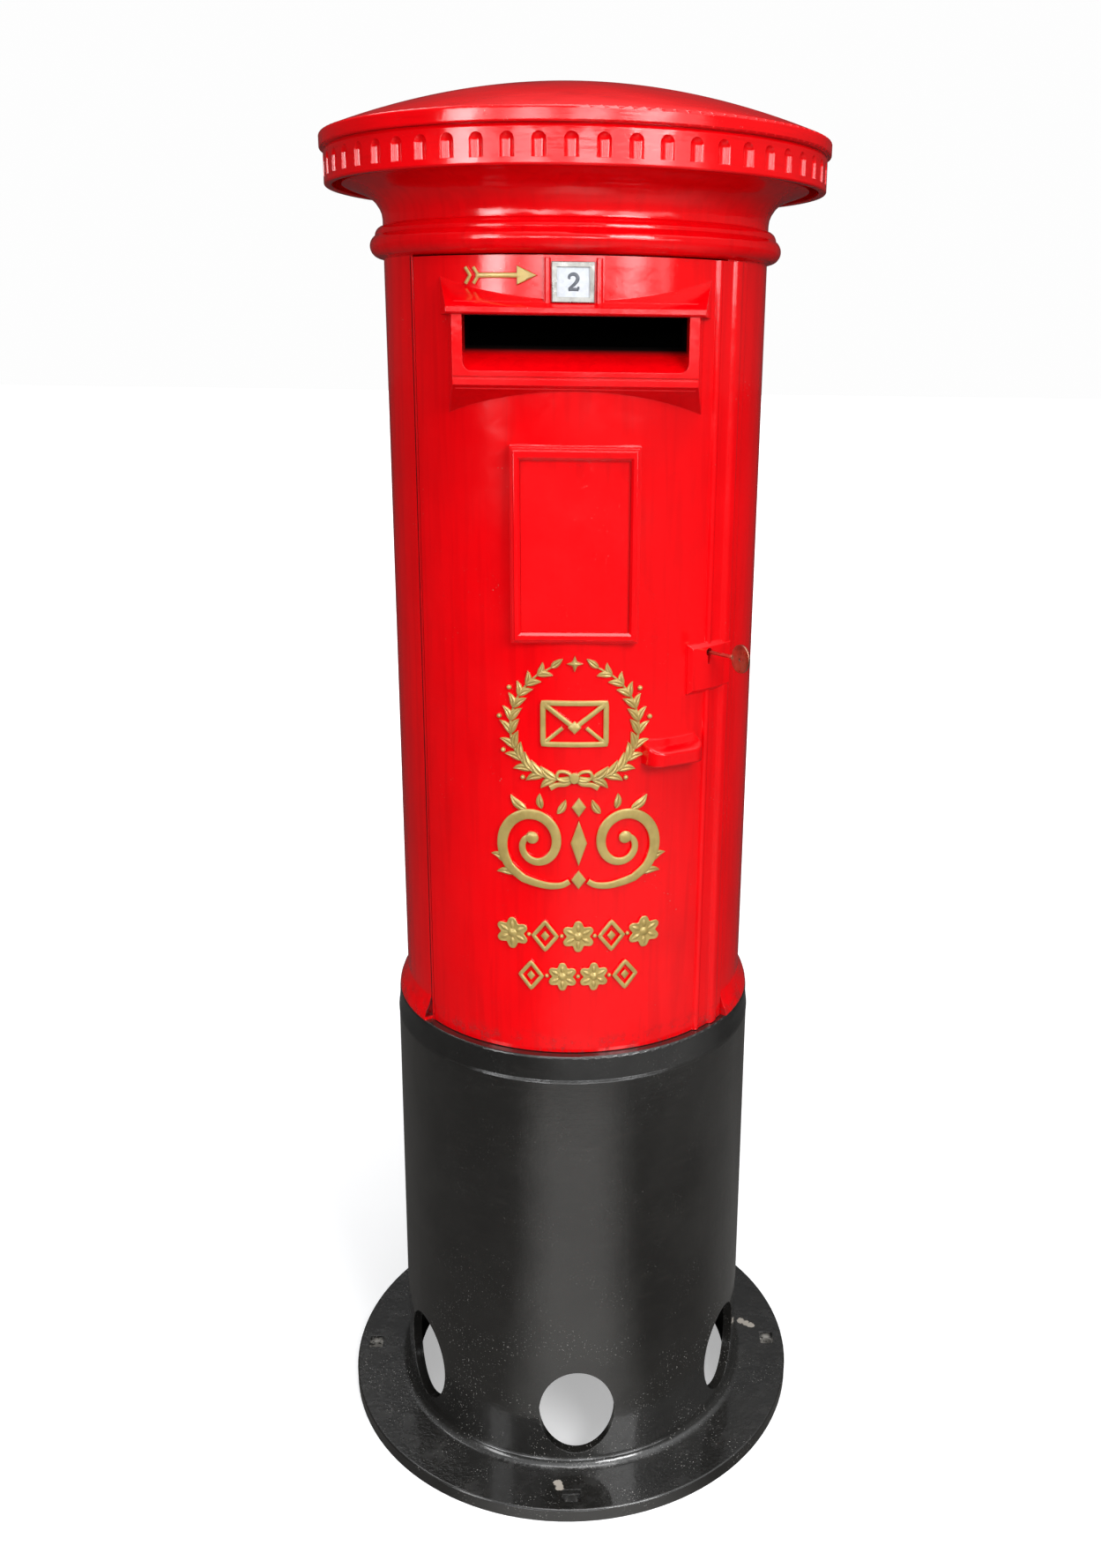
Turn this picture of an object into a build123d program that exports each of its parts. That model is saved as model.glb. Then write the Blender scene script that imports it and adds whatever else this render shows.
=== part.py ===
from build123d import *
import os
import math

# Cast-iron pillar post box, millimetres.
# Frame: origin at the centre of the underside of the base flange, +Z up,
# the door and letter slot face -Y, +X is to the right of someone facing the door.
# Azimuths are measured about +Z from -Y towards +X, in degrees.

# ------------------------------------------------------------------ driving sizes
BODY_R = 250.0            # outside of the drum and of the door
WALL = 12.0               # thickness of drum and door castings
INNER_R = BODY_R - WALL

FLANGE_R = 354.0          # foundation flange
FLANGE_T = 20.0
BOLT_PCD = 654.0          # foundation bolts
BOLT_HOLE_R = 9.0
PLINTH_R0 = 268.3         # plinth radius at the flange
PLINTH_R1 = 265.1         # plinth radius below the upper bead
PLINTH_WALL = 14.0
PLINTH_TOP = 697.0        # joint between the plinth and the drum

OVAL_W, OVAL_H, OVAL_Z, OVAL_AZ0 = 111.0, 143.0, 112.0, 1.5

DOOR_TOP = 1719.5
LINTEL_Z = 1721.0
COLLAR_TOP = 1762.0
DRUM_TOP = 1815.0
TOP_FLANGE_R = 205.0

CAP_LIP_R = 326.0
CAP_FASCIA_R = 321.0
CAP_FASCIA_IN = 311.5
CAP_FASCIA_Z0, CAP_FASCIA_Z1 = 1807.0, 1849.5
CAP_LIP_TOP = 1866.0
DOME_H, DOME_A, DOME_Z0, DOME_N = 71.5, 341.4, 1859.3, 1.965
NICHES = 57

HINGE_R = 228.0           # hinge axis, measured from the drum axis
HINGE_AZ = -45.2
HINGE_Z = (880.0, 1480.0)
EDGE_R = 36.05            # rounded hinge edge of the door about the hinge axis
JAMB_R = 37.05            # hollow hinge jamb of the drum about the same axis
DOOR_AZ_R = 47.0          # right edge of the door's wall
JAMB_AZ_R = 47.25
LAP_AZ = 56.4             # outer edge of the lap strip

LOCK_AZ = 42.4
LOCK_Z = 1243.0
KEY_R = 2.4

MEET = 0.05               # running clearance of the hinge pins in their bushes

os.makedirs("parts", exist_ok=True)


# ------------------------------------------------------------------ helpers
def pos(az, r, z=0.0):
    a = math.radians(az)
    return (r * math.sin(a), -r * math.cos(a), z)


def turned(points):
    """Solid of revolution about Z from a closed list of (radius, height)."""
    wire = Polyline(*[(r, 0, z) for r, z in points], close=True)
    return revolve(make_face(wire), axis=Axis.Z, revolution_arc=360)


def turned_edges(edges):
    return revolve(Face(Wire(edges)), axis=Axis.Z, revolution_arc=360)


def sector(r0, r1, a0, a1, z0, z1):
    """Ring sector between two radii, two azimuths and two heights."""
    face = make_face(Polyline((r0, 0, z0), (r1, 0, z0), (r1, 0, z1), (r0, 0, z1), close=True))
    solid = revolve(face, axis=Axis.Z, revolution_arc=a1 - a0)
    return Rot(0, 0, a0 - 90) * solid


def cyl_z(x, y, r, z0, z1):
    return Pos(x, y, (z0 + z1) / 2) * Cylinder(r, z1 - z0)


def block(x0, x1, y0, y1, z0, z1):
    return Pos((x0 + x1) / 2, (y0 + y1) / 2, (z0 + z1) / 2) * Box(x1 - x0, y1 - y0, z1 - z0)


def at_az(az, shape):
    """Turn a shape drawn at the front, facing -Y, round to an azimuth."""
    return Rot(0, 0, az) * shape


def rod_y(x, z, r, y0, y1):
    """Cylinder along Y."""
    return Pos(x, (y0 + y1) / 2, z) * Rot(90, 0, 0) * Cylinder(r, y1 - y0)


def rod_x(y, z, r, x0, x1):
    return Pos((x0 + x1) / 2, y, z) * Rot(0, 90, 0) * Cylinder(r, x1 - x0)


def side_prism(points, x0, x1):
    """Extrude a closed (y, z) outline along X."""
    face = make_face(Polyline(*[(x0, y, z) for y, z in points], close=True))
    return extrude(face, amount=x1 - x0, dir=(1, 0, 0))


def plan_prism(points, z0, z1):
    face = make_face(Polyline(*[(x, y, z0) for x, y in points], close=True))
    return extrude(face, amount=z1 - z0, dir=(0, 0, 1))


def screw_y(x, z, y_seat, length, r, head_r, head_h, toward=-1):
    """Cheese-head screw along Y: its head sits on y_seat, its shank runs to toward * length."""
    shank = rod_y(x, z, r, min(y_seat, y_seat + toward * length), max(y_seat, y_seat + toward * length))
    head = rod_y(x, z, head_r, min(y_seat, y_seat - toward * head_h), max(y_seat, y_seat - toward * head_h))
    slot = block(x - head_r - 1, x + head_r + 1, *sorted((y_seat - toward * (head_h - 1.2), y_seat - toward * (head_h + 1))), z - 0.8, z + 0.8)
    return shank + head - slot


def hex_z(x, y, z0, z1, flats):
    return Pos(x, y, z0) * extrude(RegularPolygon(flats / 2, 6, major_radius=False), amount=z1 - z0)


def largest(shape):
    """Keep the one main solid of a cut."""
    solids = sorted(shape.solids(), key=lambda s: s.volume)
    return solids[-1]


def save(name, shapes):
    if not isinstance(shapes, (list, tuple)):
        shapes = [shapes]
    solids = []
    for s in shapes:
        solids.extend(s.solids())
    for s in solids:
        s.label = name
        assert s.is_valid, name
    out = Compound(children=solids, label=name) if len(solids) > 1 else solids[0]
    export_step(out, "parts/%s.step" % name)
    print(name, len(solids), round(sum(s.volume for s in solids) / 1000), "cm3")


HX, HY, _ = pos(HINGE_AZ, HINGE_R)

# ------------------------------------------------------------------ base casting
base_out = [
    Line((190, 0, 677), (238, 0, 677)),
    Line((238, 0, 677), (251, 0, 660)),
    Line((251, 0, 660), (254, 0, 0)),
    Line((254, 0, 0), (FLANGE_R, 0, 0)),
    Line((FLANGE_R, 0, 0), (FLANGE_R, 0, FLANGE_T - 3)),
    ThreePointArc((FLANGE_R, 0, FLANGE_T - 3), (FLANGE_R - 0.9, 0, FLANGE_T - 0.9), (FLANGE_R - 3, 0, FLANGE_T)),
    Line((FLANGE_R - 3, 0, FLANGE_T), (PLINTH_R0 + 15, 0, FLANGE_T)),
    ThreePointArc((PLINTH_R0 + 15, 0, FLANGE_T), (PLINTH_R0 + 4.0, 0, FLANGE_T + 4.6), (PLINTH_R0 - 0.1, 0, FLANGE_T + 15)),
    Line((PLINTH_R0 - 0.1, 0, FLANGE_T + 15), (PLINTH_R1, 0, 655)),
    ThreePointArc((PLINTH_R1, 0, 655), (PLINTH_R1 + 0.5, 0, 661.5), (PLINTH_R1 - 0.3, 0, 668)),
    Line((PLINTH_R1 - 0.3, 0, 668), (263.2, 0, 682)),
    Line((263.2, 0, 682), (263.0, 0, 693.5)),
    ThreePointArc((263.0, 0, 693.5), (262.2, 0, 695.8), (260.0, 0, PLINTH_TOP)),
    Line((260.0, 0, PLINTH_TOP), (203.5, 0, PLINTH_TOP)),
    Line((203.5, 0, PLINTH_TOP), (203.5, 0, 689)),
    Line((203.5, 0, 689), (190, 0, 689)),
    Line((190, 0, 689), (190, 0, 677)),
]
base = turned_edges(base_out)
# six oval holes through the plinth wall
for k in range(6):
    oval = extrude(Plane((0, -225, OVAL_Z), x_dir=(1, 0, 0), z_dir=(0, -1, 0)) * Ellipse(OVAL_W / 2, OVAL_H / 2), amount=60)
    base = base - at_az(OVAL_AZ0 + 60 * k, oval)
# four foundation bolt holes, each at the bottom of a square pocket
for k in range(4):
    x, y, _ = pos(90 * k, BOLT_PCD / 2)
    base = base - cyl_z(x, y, BOLT_HOLE_R, -1, FLANGE_T + 1)
    base = base - at_az(90 * k, block(-13.5, 13.5, -BOLT_PCD / 2 - 11, -BOLT_PCD / 2 + 11, FLANGE_T - 8, FLANGE_T + 1))
# eight clearance holes for the bolts that hold the drum down
JOINT_AZ = [22.5 + 45 * k for k in range(8)]
JOINT_R = 221.0
for a in JOINT_AZ:
    x, y, _ = pos(a, JOINT_R)
    base = base - cyl_z(x, y, 6.6, 660, 700)
base = largest(base)
save("base_casting", base)

floor_plate = cyl_z(0, 0, 203.0, 689, 697)
for k in range(8):
    x, y, _ = pos(45 * k, 120)
    floor_plate = floor_plate - cyl_z(x, y, 8, 680, 700)
floor_plate = floor_plate - cyl_z(0, 0, 12, 680, 700)
save("floor_plate", floor_plate)

# ------------------------------------------------------------------ drum (body) casting
flare = [(262.3, 697), (262.2, 700), (260.6, 706), (258.3, 712), (254.2, 720), (251.2, 729), (250, 738)]
drum_edges = [
    Line((TOP_FLANGE_R, 0, 697), (262.3, 0, 697)),
    Spline(*[(r, 0, z) for r, z in flare], tangents=[(0, 0, 1), (0, 0, 1)]),
    Line((250, 0, 738), (250, 0, LINTEL_Z)),
    Line((250, 0, LINTEL_Z), (253.5, 0, 1722.6)),
    ThreePointArc((253.5, 0, 1722.6), (267.3, 0, 1737.5), (261.8, 0, 1748.6)),
    Line((261.8, 0, 1748.6), (260.6, 0, 1749.6)),
    ThreePointArc((260.6, 0, 1749.6), (258.4, 0, 1756.3), (250.6, 0, COLLAR_TOP - 1.2)),
    Line((250.6, 0, COLLAR_TOP - 1.2), (250, 0, COLLAR_TOP)),
    Line((250, 0, COLLAR_TOP), (250, 0, 1769)),
    Spline((250, 0, 1769), (252.4, 0, 1780), (257.5, 0, 1788.6), (266.5, 0, 1796.6), (278, 0, 1802), (291, 0, 1806.2), (300, 0, 1809.5),
           tangents=[(0, 0, 1), (0.93, 0, 0.37)]),
    Line((300, 0, 1809.5), (300, 0, DRUM_TOP)),
    Line((300, 0, DRUM_TOP), (TOP_FLANGE_R, 0, DRUM_TOP)),
    Line((TOP_FLANGE_R, 0, DRUM_TOP), (TOP_FLANGE_R, 0, 1801)),
    Line((TOP_FLANGE_R, 0, 1801), (INNER_R, 0, 1801)),
    Line((INNER_R, 0, 1801), (INNER_R, 0, 711)),
    Line((INNER_R, 0, 711), (TOP_FLANGE_R, 0, 711)),
    Line((TOP_FLANGE_R, 0, 711), (TOP_FLANGE_R, 0, 697)),
]
drum = turned_edges(drum_edges)
# door opening: a hollow jamb about the hinge axis on the left, a plain edge on the right
drum = drum - sector(236, 255, HINGE_AZ, JAMB_AZ_R, 690, LINTEL_Z)
drum = drum - cyl_z(HX, HY, JAMB_R, 690, LINTEL_Z)
# the foot flare stops at the door and at the lap strip
drum = drum - sector(250.12, 275, -53.6, LAP_AZ + 0.5, 690, 745)
for a in JOINT_AZ:
    x, y, _ = pos(a, JOINT_R)
    drum = drum - cyl_z(x, y, 6.6, 690, 720)
CAP_BOLT_AZ = [45 * k for k in range(8)]
for a in CAP_BOLT_AZ:
    x, y, _ = pos(a, 222)
    drum = drum - cyl_z(x, y, 6.6, 1790, 1820)
# blind tapped holes for the hinge brackets, the keep and the guard brackets
BRACKET_SCREW_AZ = -68.0
KEEP_SCREW_AZ = 53.5
GUARD_AZ = (-63.0, 63.0)
GUARD_SCREWS = [(az, z) for az in GUARD_AZ for z in (800.0, 1300.0)]


def radial_screw(az, z, r_seat, depth_r, r, head_r, head_h):
    """Screw driven outwards from inside the drum, its head seated at r_seat."""
    return at_az(az, screw_y(0, z, -r_seat, depth_r - r_seat, r, head_r, head_h))


for zc in HINGE_Z:
    for dz in (-23, 23):
        drum = drum - at_az(BRACKET_SCREW_AZ, rod_y(0, zc + dz, 3.0, -246, -230))
for z in (1200.0, 1240.0):
    drum = drum - at_az(KEEP_SCREW_AZ, rod_y(0, z, 2.5, -246, -230))
for az, z in GUARD_SCREWS:
    drum = drum - at_az(az, rod_y(0, z, 3.0, -246, -230))
drum = largest(drum)
save("body_casting", drum)

joint_bolts, joint_nuts = [], []
for a in JOINT_AZ:
    x, y, _ = pos(a, JOINT_R)
    joint_bolts.append(hex_z(x, y, 711, 718.5, 18) + cyl_z(x, y, 6, 662, 711))
    nut = hex_z(x, y, 667.5, 677.0, 18) - cyl_z(x, y, 6, 655, 690)
    joint_nuts.append(nut)
save("joint_bolts", joint_bolts)
save("joint_nuts", joint_nuts)

# ------------------------------------------------------------------ cap


def dome_z(r):
    return DOME_Z0 + DOME_H * (1 - (r / DOME_A) ** DOME_N)


dome_pts = [(0, dome_z(0))] + [(r, dome_z(r)) for r in (40, 80, 120, 160, 200, 240, 270, 295, 312, 322.5)]
slope_end = -DOME_H * DOME_N / DOME_A * (322.5 / DOME_A) ** (DOME_N - 1)
in_pts = [(r, dome_z(r) - WALL) for r in (208, 160, 120, 80, 40, 0)]
in2_pts = [(r, dome_z(r) - WALL) for r in (286, 275, 262, 250, 240)]
lip_z = dome_z(322.5)
cap_edges = [
    Spline(*[(r, 0, z) for r, z in dome_pts], tangents=[(1, 0, 0), (1, 0, slope_end)]),
    ThreePointArc((322.5, 0, lip_z), (325.1, 0, lip_z - 1.4), (CAP_LIP_R, 0, lip_z - 4.2)),
    Line((CAP_LIP_R, 0, lip_z - 4.2), (CAP_LIP_R, 0, 1852.0)),
    ThreePointArc((CAP_LIP_R, 0, 1852.0), (325.3, 0, 1850.1), (323.5, 0, CAP_FASCIA_Z1)),
    Line((323.5, 0, CAP_FASCIA_Z1), (319.2, 0, CAP_FASCIA_Z1)),
    Line((319.2, 0, CAP_FASCIA_Z1), (319.4, 0, 1848.0)),
    Line((319.4, 0, 1848.0), (CAP_FASCIA_R, 0, 1845.6)),
    Line((CAP_FASCIA_R, 0, 1845.6), (CAP_FASCIA_R + 0.4, 0, 1809.6)),
    ThreePointArc((CAP_FASCIA_R + 0.4, 0, 1809.6), (320.6, 0, 1807.8), (318.8, 0, CAP_FASCIA_Z0)),
    Line((318.8, 0, CAP_FASCIA_Z0), (313.6, 0, CAP_FASCIA_Z0)),
    ThreePointArc((313.6, 0, CAP_FASCIA_Z0), (312.1, 0, 1807.6), (CAP_FASCIA_IN, 0, 1809.1)),
    Line((CAP_FASCIA_IN, 0, 1809.1), (CAP_FASCIA_IN, 0, 1853)),
    Line((CAP_FASCIA_IN, 0, 1853), (299, 0, 1858)),
    Line((299, 0, 1858), (299, 0, DRUM_TOP)),
    Line((299, 0, DRUM_TOP), (286, 0, DRUM_TOP)),
    Line((286, 0, DRUM_TOP), (286, 0, in2_pts[0][1])),
    Spline(*[(r, 0, z) for r, z in in2_pts]),
    Line((240, 0, in2_pts[-1][1]), (240, 0, DRUM_TOP)),
    Line((240, 0, DRUM_TOP), (208, 0, DRUM_TOP)),
    Line((208, 0, DRUM_TOP), (208, 0, in_pts[0][1])),
    Spline(*[(r, 0, z) for r, z in in_pts], tangents=[(-1, 0, 0.25), (-1, 0, 0)]),
    Line((0, 0, in_pts[-1][1]), (0, 0, dome_pts[0][1])),
]
cap = turned_edges(cap_edges)
# arcade of small round-headed niches round the fascia
NICHE_R, NICHE_AXIS = 9.2, 325.2
niche_top = 1832.6
niche = cyl_z(0, -NICHE_AXIS, NICHE_R, 1815.2, niche_top) + Pos(0, -NICHE_AXIS, niche_top) * Sphere(NICHE_R)
niches = [at_az(-0.98 + 360.0 / NICHES * k, niche) for k in range(NICHES)]
cap = cap.cut(*niches) if hasattr(cap, "cut") else cap - niches
for a in CAP_BOLT_AZ:
    x, y, _ = pos(a, 222)
    cap = cap - cyl_z(x, y, 6.0, 1810, 1846)
cap = largest(cap)
save("cap_casting", cap)

cap_bolts = []
for a in CAP_BOLT_AZ:
    x, y, _ = pos(a, 222)
    cap_bolts.append(hex_z(x, y, 1793.5, 1801, 18) + cyl_z(x, y, 6.0, 1801, 1842))
save("cap_bolts", cap_bolts)

# ------------------------------------------------------------------ door casting
DZ0, DZ1 = 698.0, DOOR_TOP
edge_half = sector(INNER_R, BODY_R, HINGE_AZ - 13, HINGE_AZ, DZ0, DZ1) & cyl_z(HX, HY, EDGE_R, DZ0, DZ1)
shell = sector(INNER_R, BODY_R, HINGE_AZ, DOOR_AZ_R, DZ0, DZ1) + edge_half

# lap strip with its two beads, standing over the drum beyond the door's edge
lap = [(42.0, 245), (42.05, 250.6), (42.45, 253.4), (42.8, 254.3), (43.3, 254.6), (43.8, 254.2), (44.15, 253.2), (44.35, 252.5),
       (45.5, 252.3), (46.8, 252.3), (48.2, 252.4), (48.75, 253.0), (49.1, 255.0), (49.6, 256.4), (50.2, 256.9), (51.1, 257.0),
       (52.0, 256.8), (52.6, 256.2), (53.0, 255.0), (53.3, 254.0), (54.5, 253.8), (55.7, 253.7), (56.2, 253.3), (LAP_AZ, 252.4),
       (LAP_AZ, 250.45), (55.2, 250.45), (54.0, 250.45), (52.8, 250.45), (51.6, 250.45), (50.4, 250.45), (49.2, 250.45),
       (48.0, 250.45), (DOOR_AZ_R, 250.45), (DOOR_AZ_R, 245)]
strip = plan_prism([pos(a, r)[:2] for a, r in lap], DZ0 - 0.2, DZ1 - 0.3)

drum_core = cyl_z(0, 0, 244, 600, 1800)

# hood, surround and tunnel of the letter slot
SLOT_X, SLOT_Z0, SLOT_Z1, SILL_Z = 131.6, 1590.6, 1653.0, 1618.4
TUNNEL_Y = -192.0
surround = side_prism([(-262, 1582.7), (-262, 1656), (-190, 1656), (-190, 1545.2), (-262, 1582.7)][:-1], -153, 153)
surround = plan_prism([(-143.6, -262), (143.6, -262), (155, -185), (-155, -185)], 1535, 1656) & \
    side_prism([(-262, 1574.9), (-262, 1656), (-185, 1656), (-185, 1534.1)], -160, 160)
# shallow groove that parts the lower ledge from the face of the surround
surround = surround - block(-170, 170, -263, -260.2, 1582.2, 1584.6)
hood = plan_prism([(-149.5, -268), (149.5, -268), (162.5, -188), (-162.5, -188)], 1653, 1700) & \
    side_prism([(-268, 1656.0), (-266.6, 1654.4), (-264, 1653.4), (-188, 1653.4), (-188, 1697.2), (-266.2, 1662.6), (-267.6, 1661.2)], -170, 170)
tunnel = block(-141, 141, -255, TUNNEL_Y, 1570, 1668)
slot_face = extrude(Plane((0, -275, (SLOT_Z0 + SLOT_Z1 + 12) / 2), x_dir=(1, 0, 0), z_dir=(0, 1, 0)) *
                    RectangleRounded(2 * SLOT_X, SLOT_Z1 + 12 - SLOT_Z0, 11.0), amount=100)
throat = side_prism([(-280, 1580), (-262.2, 1580), (-262.2, SLOT_Z0), (-214, SILL_Z), (-185, SILL_Z), (-185, SLOT_Z1), (-280, SLOT_Z1)], -140, 140)
slot_cut = slot_face & throat

# raised flat behind the notice frame
NOT_X, NOT_Z0, NOT_Z1 = 79.0, 1267.5, 1505.5
notice_pad = block(-NOT_X, NOT_X, -252, -215, NOT_Z0, NOT_Z1) - drum_core

# pad and guide ribs round the day tablet
tab_pad = block(-37.5, 32.5, -253.6, -236, 1664, DZ1 - 0.4) - drum_core
ribs = []
for x0, x1 in ((-36.4, -29.2), (23.0, 30.8)):
    xm, hw = (x0 + x1) / 2, (x1 - x0) / 2
    rib = cyl_z(xm, -254.0, hw, 1664, 1716.0) + block(x0, x1, -254.0, -240, 1664, 1716.0)
    ribs.append(rib)

# lock pad over the beads
lock_pad = sector(246, 257.6, 34.9, 52.6, 1190, 1255)
try:
    rim = [e for e in lock_pad.edges() if e.center().Z is not None and
           abs(math.hypot(e.position_at(0.5).X, e.position_at(0.5).Y) - 257.6) < 0.05 and
           (abs(e.position_at(0.5).Z - 1190) < 0.1 or abs(e.position_at(0.5).Z - 1255) < 0.1)]
    left = [e for e in lock_pad.edges() if abs(e.position_at(0.5).Z - 1222.5) < 0.5 and
            abs(math.hypot(e.position_at(0.5).X, e.position_at(0.5).Y) - 257.6) < 0.05 and
            math.degrees(math.atan2(e.position_at(0.5).X, -e.position_at(0.5).Y)) < 40]
    lock_pad = chamfer(rim + left, 5.0)
except Exception as err:
    print("lock pad left square:", err)

lock_pad = lock_pad - sector(240, 250.45, DOOR_AZ_R, 58, 1180, 1265)

# cast hood-shaped pull, hollow underneath for the fingers
PULL_AZ, PULL_W, PULL_Z0 = 29.6, 41.5, 1106.0


def pull_body(inset, z0, drop):
    w, y1 = PULL_W - inset, -277.5 + inset
    c = 20.0 - inset * 0.6
    pts = [(-w, -235), (-w, y1 + c), (-w + c * 0.30, y1 + c * 0.30), (-w + c, y1), (w - c, y1), (w - c * 0.30, y1 + c * 0.30), (w, y1 + c), (w, -235)]
    wire = [Line((*pts[0], z0), (*pts[1], z0)), ThreePointArc((*pts[1], z0), (*pts[2], z0), (*pts[3], z0)),
            Line((*pts[3], z0), (*pts[4], z0)), ThreePointArc((*pts[4], z0), (*pts[5], z0), (*pts[6], z0)),
            Line((*pts[6], z0), (*pts[7], z0)), Line((*pts[7], z0), (*pts[0], z0))]
    body = extrude(Face(Wire(wire)), amount=70, dir=(0, 0, 1))
    top = side_prism([(-300, z0 - 5), (-300, 1115 - drop), (-277.5, 1124 - drop), (-264, 1130.5 - drop), (-250, 1135.5 - drop), (-230, 1139 - drop), (-230, z0 - 5)], -60, 60)
    return body & top


pull = pull_body(0, PULL_Z0, 0)
try:
    soft = [e for e in pull.edges() if e.position_at(0.5).Z > 1112 and e.position_at(0.5).Y < -255]
    pull = fillet(soft, 4.0)
except Exception as err:
    print("pull left sharp:", err)
pull = pull - pull_body(5.5, PULL_Z0 - 10, 6.0)
pull = at_az(PULL_AZ, pull) - cyl_z(0, 0, 249.0, 1000, 1200)

# flat seat for the rim lock on the inside
lock_seat = at_az(LOCK_AZ, block(-47, 16.5, -243, -232, 1186, 1264))

door = shell + strip
door = door + (surround - drum_core) + (hood - drum_core) + tunnel
door = door + notice_pad + tab_pad
for rib in ribs:
    door = door + (rib - drum_core)
door = door + lock_pad + pull + lock_seat
door = door - slot_cut
# keyhole
door = door - at_az(LOCK_AZ, rod_y(0, LOCK_Z, 5.2, -270, -225) + block(-2.1, 2.1, -270, -225, 1227.5, LOCK_Z))
# window behind the day tablet
TAB = dict(x0=-23.6, x1=17.1, z0=1671.9, z1=1707.6)
door = door - block(TAB["x0"] - 0.7, TAB["x1"] + 0.7, -270, -225, TAB["z0"] - 0.6, TAB["z1"] + 0.6)
door = door - block(-28.3, 21.5, -262, -253.6, 1667.0, 1675)
# relief pockets round the hinge eyes
for zc in HINGE_Z:
    door = door - cyl_z(HX, HY, 11.0, zc - 12.2, zc + 12.2)
# tapped holes
LUG_SCREW_AZ = -33.5
for zc in HINGE_Z:
    for dz in (-29, 29):
        door = door - at_az(LUG_SCREW_AZ, rod_y(0, zc + dz, 3.0, -246, -230))
NOTICE_SCREWS = [(x, z) for x in (-72.5, 72.5) for z in (1276.0, 1497.0)]
for x, z in NOTICE_SCREWS:
    door = door - rod_y(x, z, 2.5, -255, -200)
CHUTE_SCREWS = [(-110.0, 1662.0), (110.0, 1662.0), (-110.0, 1588.0), (110.0, 1588.0)]
for x, z in CHUTE_SCREWS:
    door = door - rod_y(x, z, 2.5, TUNNEL_Y - 12, TUNNEL_Y + 5)
LOCK_SCREWS = [(-41.0, 1194.5), (-41.0, 1257.5), (11.5, 1194.5), (11.5, 1257.5)]
for x, z in LOCK_SCREWS:
    door = door - at_az(LOCK_AZ, rod_y(x, z, 2.5, -242, -225))
door = largest(door)
save("door_casting", door)

# ------------------------------------------------------------------ notice frame and plate
NOT_Y = -261.6
nf = block(-NOT_X, NOT_X, -255.4, -252, NOT_Z0, NOT_Z1) \
    + block(-NOT_X + 2.2, NOT_X - 2.2, -258.6, -255.4, NOT_Z0 + 2.2, NOT_Z1 - 2.2)
crown = block(-NOT_X + 4.2, NOT_X - 4.2, NOT_Y, -258.6, NOT_Z0 + 4.2, NOT_Z1 - 4.6)
nf = nf + crown
PX, PZ0, PZ1 = 66.5, 1281.0, 1489.5
nf = nf - block(-PX, PX, -266, -250, PZ0, PZ1)
try:
    inner = [e for e in nf.edges() if abs(e.position_at(0.5).Y - NOT_Y) < 0.05 and
             abs(e.position_at(0.5).X) <= PX + 0.1 and PZ0 - 0.1 <= e.position_at(0.5).Z <= PZ1 + 0.1]
    nf = chamfer(inner, 3.2)
    outer = [e for e in nf.edges() if abs(e.position_at(0.5).Y - NOT_Y) < 0.05 and
             (abs(e.position_at(0.5).X) > NOT_X - 5 or e.position_at(0.5).Z < NOT_Z0 + 5 or e.position_at(0.5).Z > NOT_Z1 - 5)]
    nf = fillet(outer, 1.5)
except Exception as err:
    print("notice frame left plain:", err)
for x, z in NOTICE_SCREWS:
    nf = nf - rod_y(x, z, 2.5, -255, -250)
save("notice_frame", nf)
save("notice_plate", block(-PX + 0.2, PX - 0.2, -253.9, -252, PZ0 + 0.2, PZ1 - 0.2))
notice_screws = []
for x, z in NOTICE_SCREWS:
    seat = -math.sqrt(INNER_R ** 2 - (abs(x) + 5.5) ** 2)
    notice_screws.append(screw_y(x, z, seat, -255 - seat if False else 255 + seat, 2.5, 5.0, 3.5))
save("notice_screws", notice_screws)

# ------------------------------------------------------------------ day tablet in its metal frame
tf = block(-28.0, 21.2, -258.6, -253.6, 1667.2, 1712.2)
try:
    tf = fillet([e for e in tf.edges() if abs(e.position_at(0.5).Y + 258.6) < 0.05], 1.2)
except Exception as err:
    print("tablet frame left square:", err)
tf = tf - block(-22.2, 15.7, -262, -250, 1673.4, 1706.2)
tf = tf - block(TAB["x0"] - 0.5, TAB["x1"] + 0.5, -256.9, -250, TAB["z0"] - 0.5, TAB["z1"] + 0.5)
save("tablet_frame", tf)
save("day_tablet", block(TAB["x0"], TAB["x1"], -256.5, -254.0, TAB["z0"], TAB["z1"]))

# ------------------------------------------------------------------ letter chute
CY0, CY1 = TUNNEL_Y, -114.0
chute_out = [(CY0, 1656.0), (CY1, 1650), (CY1, 1556), (CY0, 1611)]
chute_in = [(CY0 - 1, 1653.6), (CY1 + 1, 1647.4), (CY1 + 1, 1557.6), (CY0 - 1, 1614.2)]
chute = side_prism(chute_out, -136, 136) - side_prism(chute_in, -133.8, 133.8)
flange = block(-138, 138, CY0, CY0 + 2.4, 1572, 1668) - side_prism(chute_out, -135, 135)
chute = chute + flange
for x, z in CHUTE_SCREWS:
    chute = chute - rod_y(x, z, 2.5, CY0 - 3, CY0 + 5)
save("aperture_chute", largest(chute))
save("chute_screws", [screw_y(x, z, CY0 + 2.4, 13.5, 2.5, 4.4, 2.6) for x, z in CHUTE_SCREWS])

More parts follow.
